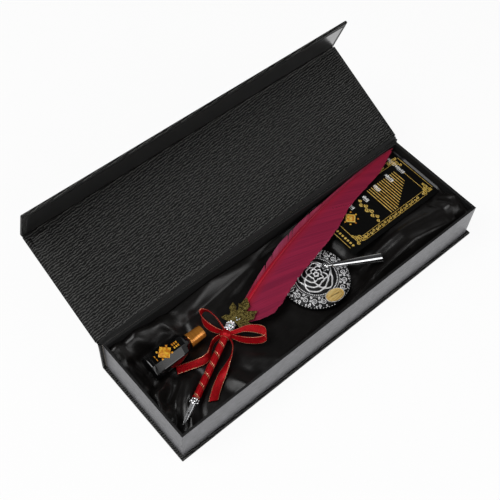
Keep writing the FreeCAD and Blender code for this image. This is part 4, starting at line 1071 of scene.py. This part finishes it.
class GIFT_OT_feather(bpy.types.Operator):
    """Stem and both vanes of the feather"""
    bl_idname = "gift.feather"
    bl_label = "Feather"

    def execute(self, context):
        self.stem()
        self.vane("wide_vane", WIDE_OUTLINE, 26.5, -1, WIDE_SPLITS, wide_barbs, "feather_vane_wide", 1.6)
        self.vane("narrow_vane", NARROW_OUTLINE, 6.0, 1, NARROW_SPLITS, narrow_barbs, "feather_vane_narrow",
                  0.8)
        return {"FINISHED"}

    def stem(self):
        path = [(Vector((QUILL_START - 7.4, 0, 0)), 1.85), (Vector((QUILL_START - 2, 0, 0)), 1.88)]
        for step in range(25):
            share = step / 24
            path.append((quill_point(share, outline(STEM_SWAY, share))[0], 1.88 - 1.45 * share ** 0.8))
        bm = bmesh.new()
        wires(bm, [path], 4, 4)
        map_uv(bm, lambda co: ((co.x - QUILL_START) / QUILL_LENGTH, math.atan2(co.z, co.y) / 6))
        piece("quill_stem", bm, dyed_quill, "pen", "quill", ["quill_shaft"], PEN, 60)

    def vane(self, name, table, width, side, splits, make, node, lift):
        first, last = table[0][0], table[-1][0]

        def reach(u, v):
            share = first + u * (last - first)
            ragged = 0.022 * noise.noise(Vector((share * 190, side, 0.3)))
            ragged += 0.03 * noise.noise(Vector((share * 42, side, 4.0)))
            sway = outline(STEM_SWAY, share)
            edge = outline(table, share) * (1 + ragged) - side * sway
            return share, sway, 0.4 + v * max(0.3, edge)

        def shape(u, v):
            share, sway, out = reach(u, v)
            centre, left = quill_point(share, sway)
            wave = 0.35 * noise.noise(Vector((share * 14, v * 1.5, side)))
            rise = (lift + wave) * (out / width) ** 2 + 0.35
            return centre + left * (side * out) + Vector((0, 0, rise))

        def mark(u, v):
            share, _, out = reach(u, v)
            along = QUILL_START + share * QUILL_LENGTH
            return ((along - BARB_SLANT * out) * MM, out * MM)

        bm = sheet_of(520, 12, shape, mark)
        layer = bm.loops.layers.uv.verify()
        gone = []
        for face in bm.faces:
            uv = sum((loop[layer].uv for loop in face.loops), Vector((0, 0))) / len(face.loops) / MM
            if any(abs(uv.x - at) < gap * (uv.y / width) ** 1.3 for at, gap in splits):
                gone.append(face)
        bmesh.ops.delete(bm, geom=gone, context="FACES")
        thicken(piece(name, bm, make, "pen", "feather", [node], PEN, 180), 0.25 * MM)


# Outline of the leaf in the pen's millimetres, from its tip round by the right
LEAF_OUTLINE = [
    (119.2, -2.7), (116.0, -5.4), (112.6, -8.1), (107.0, -6.8), (108.8, -10.9), (111.0, -15.6),
    (107.1, -14.9), (102.9, -15.4), (99.6, -11.6), (97.4, -15.7), (95.4, -10.3), (92.0, -8.2),
    (94.2, -4.2), (95.6, -1.2), (90.8, 1.6), (93.4, 4.0), (94.4, 9.2), (97.6, 6.7), (98.5, 3.6),
    (101.5, 4.1), (105.2, 6.6), (110.6, 5.8), (107.8, 2.1), (104.2, -0.1), (107.0, -1.0), (111.6, 1.4),
    (111.4, -1.0), (115.2, -1.6)]
LEAF_VEINS = [
    (118.4, -2.8), (109.8, 5.3), (94.8, 8.4), (110.2, -14.8), (97.6, -14.8), (111.0, 0.8), (111.8, -7.6),
    (105.0, 6.0), (103.2, -14.6), (91.6, 1.4)]
LEAF_THICKNESS = 0.9


class GIFT_OT_leaf(bpy.types.Operator):
    """Stamped maple leaf with veins and small stones"""
    bl_idname = "gift.leaf"
    bl_label = "Leaf"

    def execute(self, context):
        inward = PEN.inverted()
        low = min((inward @ v.co).z for v in NODES["maple_leaf"].data.vertices)
        bm = bmesh.new()
        verts = [bm.verts.new((x, y, low)) for x, y in LEAF_OUTLINE]
        rim = [bm.edges.new(pair) for pair in zip(verts, verts[1:] + verts[:1])]
        plate = bmesh.ops.triangle_fill(bm, edges=rim, use_beauty=True)
        faces = [g for g in plate["geom"] if isinstance(g, bmesh.types.BMFace)]
        top = low + LEAF_THICKNESS
        for vert in new_points(bmesh.ops.extrude_face_region(bm, geom=faces)):
            vert.co.z = top
        bmesh.ops.recalc_face_normals(bm, faces=bm.faces)
        edge = [(Vector((x, y, top)), 0.26) for x, y in LEAF_OUTLINE]
        wires(bm, [edge], 1, 1, cyclic=True, straight=True)
        root = Vector((96.4, -4.0, top))
        veins = []
        for count, tip in enumerate(LEAF_VEINS):
            end = Vector((*tip, top))
            first = root if count < 5 else root.lerp(end, 0.5) + Vector((0.8, 0, 0))
            size = 0.42 if count < 5 else 0.28
            half_way = (first + end) / 2 + Vector((0.4, 0, 0.1))
            veins.append([(first, size), (half_way, size * 0.8), (end, size * 0.4)])
        wires(bm, veins)
        piece("leaf_plate", bm, antique_bronze, "pen", "leaf_bronze", ["maple_leaf"], PEN, 30)
        bm = bmesh.new()
        for x, y, size in ((96.8, -3.6, 0.8), (98.6, -2.2, 0.6), (98.4, -5.0, 0.6)):
            at = Matrix.Translation((x, y, top + 0.3)) @ Matrix.Diagonal((1, 1, 0.7, 1))
            bmesh.ops.create_icosphere(bm, subdivisions=1, radius=size, matrix=at)
        piece("leaf_stones", bm, foiled_crystal, "pen", "silver", place=PEN, sharp=5)
        return {"FINISHED"}


class GIFT_OT_bottle(bpy.types.Operator):
    """Faceted ink bottle, its label and its screw cap"""
    bl_idname = "gift.bottle"
    bl_label = "Ink bottle"

    def execute(self, context):
        bm = merged("bottle_glass")
        round_edges(bm, 0.55 * MM)
        piece("bottle_body", bm, ink_glass, "bottle", "bottle", ["bottle_glass"])
        dress("bottle_label", lacquered_label)
        self.foil()
        inside = [(0.0, 49.9), (4.95, 49.9), (4.95, 39.4)]
        outside = [(5.9, 39.4), (6.05, 39.7), (6.05, 40.5), (5.92, 40.7), (5.96, 41.0), (5.5, 53.0),
                   (5.3, 53.6), (4.9, 53.8), (3.0, 53.75), (0.0, 53.7)]
        bm = turned(inside + outside, 48, "X")
        piece("cap_shell", bm, cap_metal, "cap", "cap_gold", ["bottle_cap"], BOTTLE)
        return {"FINISHED"}

    def foil(self):
        """A generic lozenge, ruled bars and squares on the label's top facet."""
        bm = bmesh.new()
        for size, mark in ((6.4, 0), (4.6, 1), (2.8, 2)):
            bmesh.ops.create_cone(bm, cap_ends=True, segments=4, radius1=size, radius2=size * 0.94,
                                  depth=0.05, matrix=Matrix.Translation((16.0, 0, 0.03 + 0.03 * mark)))
        for side in (-1, 1):
            dot(bm, 16.0 + side * 4.6, side * 3.8, 0.9, 0.05)
            dot(bm, 16.0 + side * 4.6, -side * 3.8, 0.9, 0.05)
            for row in range(3):
                slab(bm, 24.6 + 1.9 * row, side * 1.5, 1.2, 1.9, 0.05)
            slab(bm, 7.6, side * 1.6, 0.6, 2.2, 0.05)
        top = BOTTLE @ Matrix.Translation((0, 0, 9.94))
        piece("label_foil", bm, amber_foil, "bottle", "label", place=top)


# Rose relief: radius of each petal edge and its height over the well, in millimetres
ROSE_EDGES = [(14.6, 1.5), (11.6, 2.5), (8.5, 3.6), (5.2, 4.6), (1.9, 5.4)]
STAND_PROFILE = [
    (0.0, 0.0), (29.2, 0.0), (30.0, 0.8), (29.9, 1.9), (29.3, 3.1), (28.2, 4.0), (26.6, 4.6), (24.0, 5.0),
    (20.9, 5.3), (20.2, 5.5), (19.6, 4.9), (17.2, 4.7), (16.9, 4.3), (0.0, 4.25)]
ROSE_RADIUS, WELL_FLOOR = 16.2, STAND_PROFILE[-1][1]
# The funnel's socket stands this far off the middle, and the rose keeps this clear of it
SOCKET_OFF, SOCKET_CLEAR = 11.0, 4.3
# The plaque's place on the rim, a little turned
PLAQUE = Matrix.Translation((0, -23.6, 5.65)) @ Matrix.Rotation(math.radians(-9), 4, "Z")


def stand_top(radius):
    """Height of the casting's rim at a radius."""
    for (a, low), (b, high) in zip(STAND_PROFILE[2:], STAND_PROFILE[3:]):
        if b <= radius <= a:
            return low + (high - low) * (a - radius) / (a - b)
    return STAND_PROFILE[-1][1]


class GIFT_OT_stand(bpy.types.Operator):
    """Silver stand with its rose, beads, filigree rim, plaque and pen funnel"""
    bl_idname = "gift.stand"
    bl_label = "Pen stand"

    def execute(self, context):
        bm = turned(STAND_PROFILE, 96)
        self.patina(bm, lambda co: 0.95)
        piece("stand_casting", bm, antique_silver, "stand", "stand_silver", ["stand_base"], STAND)
        self.rose()
        self.beads()
        self.filigree()
        self.plaque()
        self.funnel()
        dress("holder_socket", bright_chrome)
        dress("holder_ball", bright_chrome)
        return {"FINISHED"}

    def patina(self, bm, depth):
        """Marks how far each point lies in the blackened ground."""
        layer = bm.verts.layers.float.new("recess")
        for vert in bm.verts:
            vert[layer] = depth(vert.co)

    def rose(self):
        """Wavy petal edges that climb towards the bud, with blackened hollows between."""

        def level(u, v):
            angle, radius = math.tau * u, ROSE_RADIUS * v
            rise, hollow = 0.05 + 4.0 * (1 - v), 1.0
            for count, (middle_radius, crest) in enumerate(ROSE_EDGES):
                sway = 1.0 * math.cos(5 * angle + 1.9 * count) + 0.45 * math.cos(9 * angle + 3.1 * count)
                away = abs(radius - middle_radius - sway * min(1.0, middle_radius / 6)) / 0.95
                if away < 1.5:
                    bump = math.cos(min(1.0, away / 1.5) * math.pi / 2) ** 1.4
                    rise = max(rise, rise + bump * (crest + 0.25 - rise))
                    hollow = min(hollow, ease(0.6, 1.0, away))
            return angle, radius, rise, hollow

        shades = {}

        def shape(u, v):
            angle, radius, rise, hollow = level(u, v)
            place = Vector((radius * math.cos(angle), radius * math.sin(angle), WELL_FLOOR + rise))
            if (place - Vector((SOCKET_OFF, 0, place.z))).length < SOCKET_CLEAR:
                place.z = min(place.z, WELL_FLOOR + 0.15)
                hollow = 1.0
            shades[tuple(round(c, 4) for c in place)] = hollow
            return place

        bm = sheet_of(200, 90, shape)
        layer = bm.verts.layers.float.new("recess")
        for vert in bm.verts:
            vert[layer] = shades.get(tuple(round(c, 4) for c in vert.co), 0.6)
        bmesh.ops.remove_doubles(bm, verts=bm.verts, dist=1e-3)
        bmesh.ops.recalc_face_normals(bm, faces=bm.faces)
        rim = [e for e in bm.edges if e.is_boundary]
        for vert in new_points(bmesh.ops.extrude_edge_only(bm, edges=rim)):
            vert.co.z = WELL_FLOOR - 0.05
        bmesh.ops.contextual_create(bm, geom=[e for e in bm.edges if e.is_boundary])
        bmesh.ops.recalc_face_normals(bm, faces=bm.faces)
        piece("rose_relief", bm, antique_silver, "stand", "stand_silver", ["stand_rose"], STAND, 60)

    def beads(self):
        """A ring of beads round the rose and a finer one round the plaque."""
        bm = bmesh.new()
        for count in range(74):
            angle = math.tau * count / 74
            place = Vector((18.4 * math.cos(angle), 18.4 * math.sin(angle), 5.45))
            if not self.under_plaque(place):
                bmesh.ops.create_uvsphere(bm, u_segments=8, v_segments=6, radius=0.66,
                                          matrix=Matrix.Translation(place))
        for count in range(48):
            angle = math.tau * count / 48
            at = PLAQUE @ Matrix.Translation((8.7 * math.cos(angle), 5.9 * math.sin(angle), 0.1))
            bmesh.ops.create_uvsphere(bm, u_segments=6, v_segments=5, radius=0.46, matrix=at)
        self.patina(bm, lambda co: 0.0 if co.z > 5.5 else 0.7)
        piece("stand_beads", bm, antique_silver, "stand", "stand_silver", ["stand_bead_ring"], STAND, 180)

    def filigree(self):
        """Round scrolls that fill the rim, with small ones and dots in the gaps."""
        paths = []
        repeats = 20
        for count in range(repeats):
            angle = math.tau * (count + 0.5) / repeats - math.pi / 2
            half = math.pi / repeats
            way = 1 if count % 2 else -1
            paths.append(self.bent(24.5, angle, 3.3, 1.7 * way, way))
            paths.append(self.bent(28.0, angle + half, 1.5, -1.3 * way, way))
            paths.append(self.bent(21.4, angle + half, 1.2, 1.3 * way, -way))
            paths.append(self.bent(28.6, angle + 0.45 * half, 0.8, 1.1 * way, way))
            paths.append(self.bent(24.6, angle + half, 1.1, -1.2 * way, way))
        clear = [p for p in paths if not any(self.under_plaque(place) for place, _ in p)]
        bm = bmesh.new()
        wires(bm, clear, 1, 2)
        for radius, size, number in ((29.5, 0.55, 72), (20.2, 0.42, 96)):
            for count in range(number):
                angle = math.tau * count / number
                place = self.on_rim(radius, angle)
                if not self.under_plaque(place):
                    bmesh.ops.create_uvsphere(bm, u_segments=6, v_segments=4, radius=size,
                                              matrix=Matrix.Translation(place))
        self.patina(bm, lambda co: 0.0 if co.z > stand_top(co.xy.length) + 0.05 else 0.5)
        piece("stand_filigree", bm, antique_silver, "stand", "stand_silver", place=STAND, sharp=180)

    def on_rim(self, radius, angle):
        return Vector((radius * math.cos(angle), radius * math.sin(angle), stand_top(radius) + 0.12))

    def under_plaque(self, place):
        flat = PLAQUE.inverted() @ place
        return (flat.x / 9.2) ** 2 + (flat.y / 6.4) ** 2 < 1

    def bent(self, radius, angle, size, turns, side):
        path = []
        for place, wire in curl(0, 0, size, math.pi / 2 * side, turns, 0.46, steps=10):
            around = angle + place.x / radius
            path.append((self.on_rim(min(29.4, radius + place.y), around), wire))
        return path

    def plaque(self):
        """A bare oval plate with a raised rim."""
        bm = bmesh.new()
        made = bmesh.ops.create_circle(bm, cap_ends=True, segments=64, radius=1.0)
        bmesh.ops.scale(bm, vec=(8.3, 5.5, 1), verts=made["verts"])
        raised = new_points(bmesh.ops.extrude_face_region(bm, geom=bm.faces[:]))
        bmesh.ops.translate(bm, vec=(0, 0, 0.9), verts=raised)
        bmesh.ops.recalc_face_normals(bm, faces=bm.faces)
        top = max(bm.faces, key=lambda f: f.calc_center_median().z)
        bmesh.ops.inset_individual(bm, faces=[top], thickness=0.6, depth=0.0)
        bmesh.ops.inset_individual(bm, faces=[top], thickness=0.25, depth=-0.22)
        for thickness, rise in ((1.1, 0.4), (1.2, 0.2), (1.2, 0.06)):
            bmesh.ops.inset_individual(bm, faces=[top], thickness=thickness, depth=rise)
        rims = [e for e in bm.edges if abs(e.calc_face_angle(0)) > math.radians(50)]
        bmesh.ops.bevel(bm, geom=rims, offset=0.18, offset_type="OFFSET", affect="EDGES", segments=2,
                        profile=0.5, material=-1)
        at = STAND @ PLAQUE
        piece("plaque_plate", bm, brushed_brass, "stand", "plaque_gold", ["stand_plaque"], at, 30)

    def funnel(self):
        """A tapered tube with a slanted, rounded mouth on the ball's stem."""
        outer = [(1.16, 5.4), (1.6, 5.4), (1.75, 5.9), (1.95, 8.0), (2.6, 17.0), (3.35, 27.0), (3.9, 40.0),
                 (4.2, 51.4)]
        inner = [(2.9, 51.4), (2.9, 27.6), (0.0, 27.0)]
        bm = turned(outer + inner, 48, "X")
        low, high = Vector((51.0, 0, -4.2)), Vector((48.4, 0, 4.2))
        way = high - low
        bmesh.ops.bisect_plane(bm, geom=bm.verts[:] + bm.edges[:] + bm.faces[:], dist=1e-6, plane_co=low,
                               plane_no=Vector((way.z, 0, -way.x)).normalized(), clear_outer=True)
        mouth = [e for e in bm.edges if e.is_boundary and min(v.co.x for v in e.verts) > 40]
        bmesh.ops.bridge_loops(bm, edges=mouth)
        bmesh.ops.recalc_face_normals(bm, faces=bm.faces)
        way = middle("pen_funnel") - BALL.translation
        turn = Matrix.Rotation(math.atan2(way.y, way.x), 4, "Z")
        piece("funnel_tube", bm, bright_chrome, "holder", "holder_chrome", ["pen_funnel"],
              BALL @ turn @ Matrix.Scale(MM, 4), 40)


class GIFT_OT_card(bpy.types.Operator):
    """Black card with a gold scroll border, ruled lines and bars"""
    bl_idname = "gift.card"
    bl_label = "Card"

    def execute(self, context):
        dress("card", black_card)
        bm = bmesh.new()
        self.border(bm)
        self.scrolls(bm)
        self.lines(bm)
        piece("card_foil", bm, [gold_foil, white_ink, amber_foil], "card", "card", place=CARD, sharp=40)
        return {"FINISHED"}

    def border(self, bm):
        """Thin rules round the card, double at its ends."""
        wide, deep = [(high - low) / MM for low, high in zip(*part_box("card"))][:2]
        for x in (1.75, 11.45, wide - 1.6, wide - 9.6):
            slab(bm, x, deep / 2, 0.45, deep - 14, 0.06)
        for y in (4.6, 9.2, deep - 4.6, deep - 9.2):
            slab(bm, wide / 2 + 4.0, y, wide - 30, 0.35, 0.06)

    def scrolls(self, bm):
        """A running scroll along both long sides, a spray in each corner and a branch across."""
        paths = []
        for y in (7.0, 50.5):
            for count in range(20):
                way = 1 if count % 2 else -1
                x = 20.5 + 3.5 * count
                paths.append(curl(x, y + way * 0.4, 1.5, math.pi * (count % 2), 1.25 * way, 0.34))
        corners = ((13.5, 7.5, -1, -1), (13.5, 50.0, -1, 1), (101.0, 7.5, 1, -1), (101.0, 50.0, 1, 1))
        for x, y, out_x, out_y in corners:
            for dx, dy, size, turn in ((0, 0, 2.8, 1.5), (-3.8, 0.6, 2.2, -1.4), (0.6, -4.0, 2.2, 1.4),
                                       (-6.6, 0.4, 1.6, 1.3), (1.4, -6.8, 1.5, -1.3), (-2.6, -2.8, 1.8, 1.2),
                                       (2.6, 1.4, 1.5, -1.2)):
                turns = turn * out_x * out_y
                paths.append(curl(x + out_x * dx, y + out_y * dy, size, 0.8 * out_x, turns, 0.4))
        for count in range(8):
            way = 1 if count % 2 else -1
            size = 2.3 - 0.18 * abs(count - 3.5)
            paths.append(curl(43.2 + 1.3 * way, 12.0 + 3.6 * count, size, 1.6 * way, 1.3 * way, 0.5))
        drawn = len(bm.verts)
        wires(bm, paths, 1, 2)
        for vert in bm.verts[drawn:]:
            vert.co.z = 0.05 + 0.15 * vert.co.z

    def lines(self, bm):
        """Plain bars and rules in place of print, a lozenge and a row of dots."""
        for x, y, length in ((98.8, 50.5, 10.0), (98.4, 39.8, 11.0), (83.4, 39.0, 10.0), (66.4, 37.9, 8.0),
                             (49.9, 35.9, 7.0), (33.8, 37.6, 6.0)):
            for step in range(5):
                at = y + length * (step - 2) / 5
                slab(bm, x + 0.3 * (step % 2), at, 2.9 - 0.5 * (step % 3), length / 6.2, 0.06, mark=1)
            slab(bm, x - 2.0, y - 0.8, 0.5, length * 0.7, 0.06, mark=1)
        for row in range(14):
            x = 57.2 + 2.66 * row
            foot = 10.7 + max(0.0, row - 3) * 1.7
            slab(bm, x, (41.5 + foot) / 2, 0.75, 41.5 - foot, 0.05)
        for size, mark, z in ((6.0, 0, 0.03), (4.4, 2, 0.06), (2.4, 0, 0.09)):
            made = bmesh.ops.create_cone(bm, cap_ends=True, segments=4, radius1=size, radius2=size * 0.96,
                                         depth=0.06, matrix=Matrix.Translation((24.3, 29.3, z)))
            paint(made, mark)
        for count in range(8):
            angle = count * math.pi / 4
            dot(bm, 24.3 + 6.6 * math.cos(angle), 29.3 + 6.6 * math.sin(angle), 0.8, 0.05, 2)
        for count in range(8):
            dot(bm, 5.75, 7.4 + 3.2 * count, 1.15, 0.06)


class GIFT_OT_inside(bpy.types.Operator):
    """Finishes of the boards, foam, magnets and other inner parts"""
    bl_idname = "gift.inside"
    bl_label = "Inner parts"

    def execute(self, context):
        for stuff, nodes in (
                (greyboard, ("base_board", "spine_board", "lid_board", "flap_board", "tray_floor",
                             "tray_front_wall", "tray_back_wall", "tray_left_wall", "tray_right_wall")),
                (nickel, ("flap_magnets",)), (mild_steel, ("tray_keepers",)), (soft_foam, ("foam_pad",)),
                (lime_wood, ("pen_barrel",)), (nib_steel, ("nib_holder",)), (black_ink, ("bottle_ink",)),
                (white_wad, ("cap_wad",)), (black_felt, ("stand_felt",))):
            for node in nodes:
                dress(node, stuff)
        return {"FINISHED"}


def greyboard():
    # Recycled board: grey brown with fibres
    return inner_stuff("greyboard", "#77716a", "#a59d92", 1.4, 0.9)


def nickel():
    # Nickel-plated magnet discs
    return inner_stuff("nickel_plate", "#a8a6a0", "#d6d4cc", 2.0, 0.25, 1.0)


def mild_steel():
    # Punched steel keeper discs, lightly oiled
    return inner_stuff("mild_steel", "#6f7074", "#9a9ba0", 1.5, 0.4, 1.0)


def soft_foam():
    # Open-cell foam pad, off white with pores
    return inner_stuff("open_cell_foam", "#b9b8ae", "#e4e3da", 1.2, 0.95)


def lime_wood():
    # Turned lime dowel under the ribbon
    return inner_stuff("lime_wood", "#b58f5e", "#d8b884", 2.4, 0.6)


def black_ink():
    # Still black ink
    return inner_stuff("black_ink", "#020203", "#07070a", 12.0, 0.05)


def white_wad():
    # Pressed polyethylene foam seal
    return inner_stuff("cap_wad_foam", "#cfcfca", "#efefe9", 0.9, 0.8)


def black_felt():
    # Pressed wool felt
    return inner_stuff("black_felt", "#0d0d0e", "#1f1f21", 0.8, 0.95)


# The point of the open box that the camera looks at
CAMERA_TARGET = Vector((-0.7, 60.7, 2.5)) * MM


class GIFT_OT_stage(bpy.types.Operator):
    """Pale floor, soft studio lights and the camera"""
    bl_idname = "gift.stage"
    bl_label = "Stage"

    def execute(self, context):
        scene = context.scene
        scene.view_settings.view_transform = "Standard"
        bm = bmesh.new()
        bmesh.ops.create_grid(bm, x_segments=2, y_segments=2, size=4.0)
        mesh = bpy.data.meshes.new("floor")
        bm.to_mesh(mesh)
        bm.free()
        floor = bpy.data.objects.new("floor", mesh)
        floor.location.z = -0.3 * MM
        scene.collection.objects.link(floor)
        mesh.materials.append(self.floor_finish())
        self.sky(scene)
        for name, place, wide, high, power in (
                ("top_left_box", (-0.75, 0.35, 1.25), 0.9, 0.9, 13.0),
                ("front_right_box", (0.40, -1.03, 0.47), 0.5, 0.8, 3.0),
                ("front_left_box", (-0.30, -1.0, 0.75), 0.7, 1.0, 3.4),
                ("lid_box", (0.66, -0.88, 1.0), 0.6, 0.6, 1.4)):
            lamp = bpy.data.lights.new(name, "AREA")
            lamp.shape = "RECTANGLE"
            lamp.size = wide
            lamp.size_y = high
            lamp.energy = power
            made = bpy.data.objects.new(name, lamp)
            made.location = place
            made.rotation_mode = "QUATERNION"
            made.rotation_quaternion = (Vector((0, 0.03, 0.03)) - Vector(place)).to_track_quat("-Z", "Y")
            scene.collection.objects.link(made)
        self.camera(scene)
        return {"FINISHED"}

    def floor_finish(self):
        # White sweep: it takes a soft shadow and is nearly white to the camera and in reflections
        made = bpy.data.materials.new("white_sweep")
        made.use_nodes = True
        tree = made.node_tree
        tree.nodes.remove(tree.nodes["Principled BSDF"])
        rays = add(tree, "LightPath").outputs
        seen = add(tree, "Math", {0: rays["Is Camera Ray"], 1: rays["Is Glossy Ray"]}, operation="ADD")
        seen = add(tree, "Math", {0: seen.outputs[0], 1: rays["Is Transmission Ray"]}, operation="ADD")
        share = add(tree, "Math", {0: seen.outputs[0], 1: 0.93}, operation="MULTIPLY", use_clamp=True)
        cloth = add(tree, "BsdfDiffuse", {"Color": linear("#fafafa")})
        glow = add(tree, "Emission", {"Color": linear("#ffffff"), "Strength": 1.0})
        both = add(tree, "MixShader", {0: share.outputs[0], 1: cloth.outputs[0], 2: glow.outputs[0]})
        tree.links.new(both.outputs[0], tree.nodes["Material Output"].inputs["Surface"])
        return made

    def sky(self, scene):
        """White to the camera; elsewhere a studio that is bright at the sides and dim overhead."""
        world = scene.world or bpy.data.worlds.new("studio")
        scene.world = world
        world.use_nodes = True
        tree = world.node_tree
        tree.nodes.clear()
        split = add(tree, "SeparateXYZ", {0: add(tree, "TexCoord").outputs["Generated"]})
        levels = [(rise, (glow, glow, glow, 1)) for rise, glow in ((0.3, 0.4), (0.45, 0.1), (1.0, 0.03))]
        room = add(tree, "ValToRGB", {0: split.outputs[2]}, ramp=levels)
        seen = add(tree, "LightPath").outputs["Is Camera Ray"]
        tint = add(tree, "Mix", {0: seen, 6: room.outputs[0], 7: (1, 1, 1, 1)}, data_type="RGBA")
        back = add(tree, "Background", {"Color": tint.outputs[2], "Strength": 1.0})
        out = add(tree, "OutputWorld")
        tree.links.new(back.outputs[0], out.inputs["Surface"])

    def camera(self, scene):
        look = scene.gift_stage
        side, level = look.azimuth, math.cos(look.elevation)
        back = Vector((math.sin(side) * level, -math.cos(side) * level, math.sin(look.elevation)))
        right = Vector((math.cos(side), math.sin(side), 0))
        up = back.cross(right)
        turned_right = right * math.cos(look.roll) + up * math.sin(look.roll)
        turned_up = up * math.cos(look.roll) - right * math.sin(look.roll)
        lens = bpy.data.cameras.new("camera")
        lens.sensor_width = 36.0
        lens.lens = look.lens
        made = bpy.data.objects.new("camera", lens)
        turn = Matrix((turned_right, turned_up, back)).transposed().to_4x4()
        made.matrix_world = Matrix.Translation(CAMERA_TARGET + back * look.distance) @ turn
        scene.collection.objects.link(made)
        scene.camera = made


OPERATORS = [GIFT_OT_stage, GIFT_OT_case, GIFT_OT_tray, GIFT_OT_satin, GIFT_OT_grip, GIFT_OT_bow,
             GIFT_OT_feather, GIFT_OT_leaf, GIFT_OT_bottle, GIFT_OT_stand, GIFT_OT_card, GIFT_OT_inside]
LOOKS = {"gift_case": CaseLook, "gift_satin": SatinLook, "gift_pen": PenLook, "gift_set": SetLook,
         "gift_stage": StageLook}


class GIFT_PT_sidebar(bpy.types.Panel):
    """Lists the pieces of the gift box"""
    bl_idname = "GIFT_PT_sidebar"
    bl_label = "Gift box"
    bl_space_type = "VIEW_3D"
    bl_region_type = "UI"
    bl_category = "Gift box"

    def draw(self, context):
        for operator in OPERATORS:
            self.layout.operator(operator.bl_idname)
        for name, look in LOOKS.items():
            for key in look.__annotations__:
                self.layout.prop(getattr(context.scene, name), key)


def register():
    for one in [*LOOKS.values(), *OPERATORS, GIFT_PT_sidebar]:
        bpy.utils.register_class(one)
    for name, look in LOOKS.items():
        setattr(bpy.types.Scene, name, PointerProperty(type=look))


def unregister():
    for name in LOOKS:
        delattr(bpy.types.Scene, name)
    for one in [GIFT_PT_sidebar, *reversed(OPERATORS), *reversed(LOOKS.values())]:
        bpy.utils.unregister_class(one)


def main():
    register()
    for operator in OPERATORS:
        getattr(bpy.ops.gift, operator.bl_idname.removeprefix("gift."))()


if __name__ == "__main__":
    main()
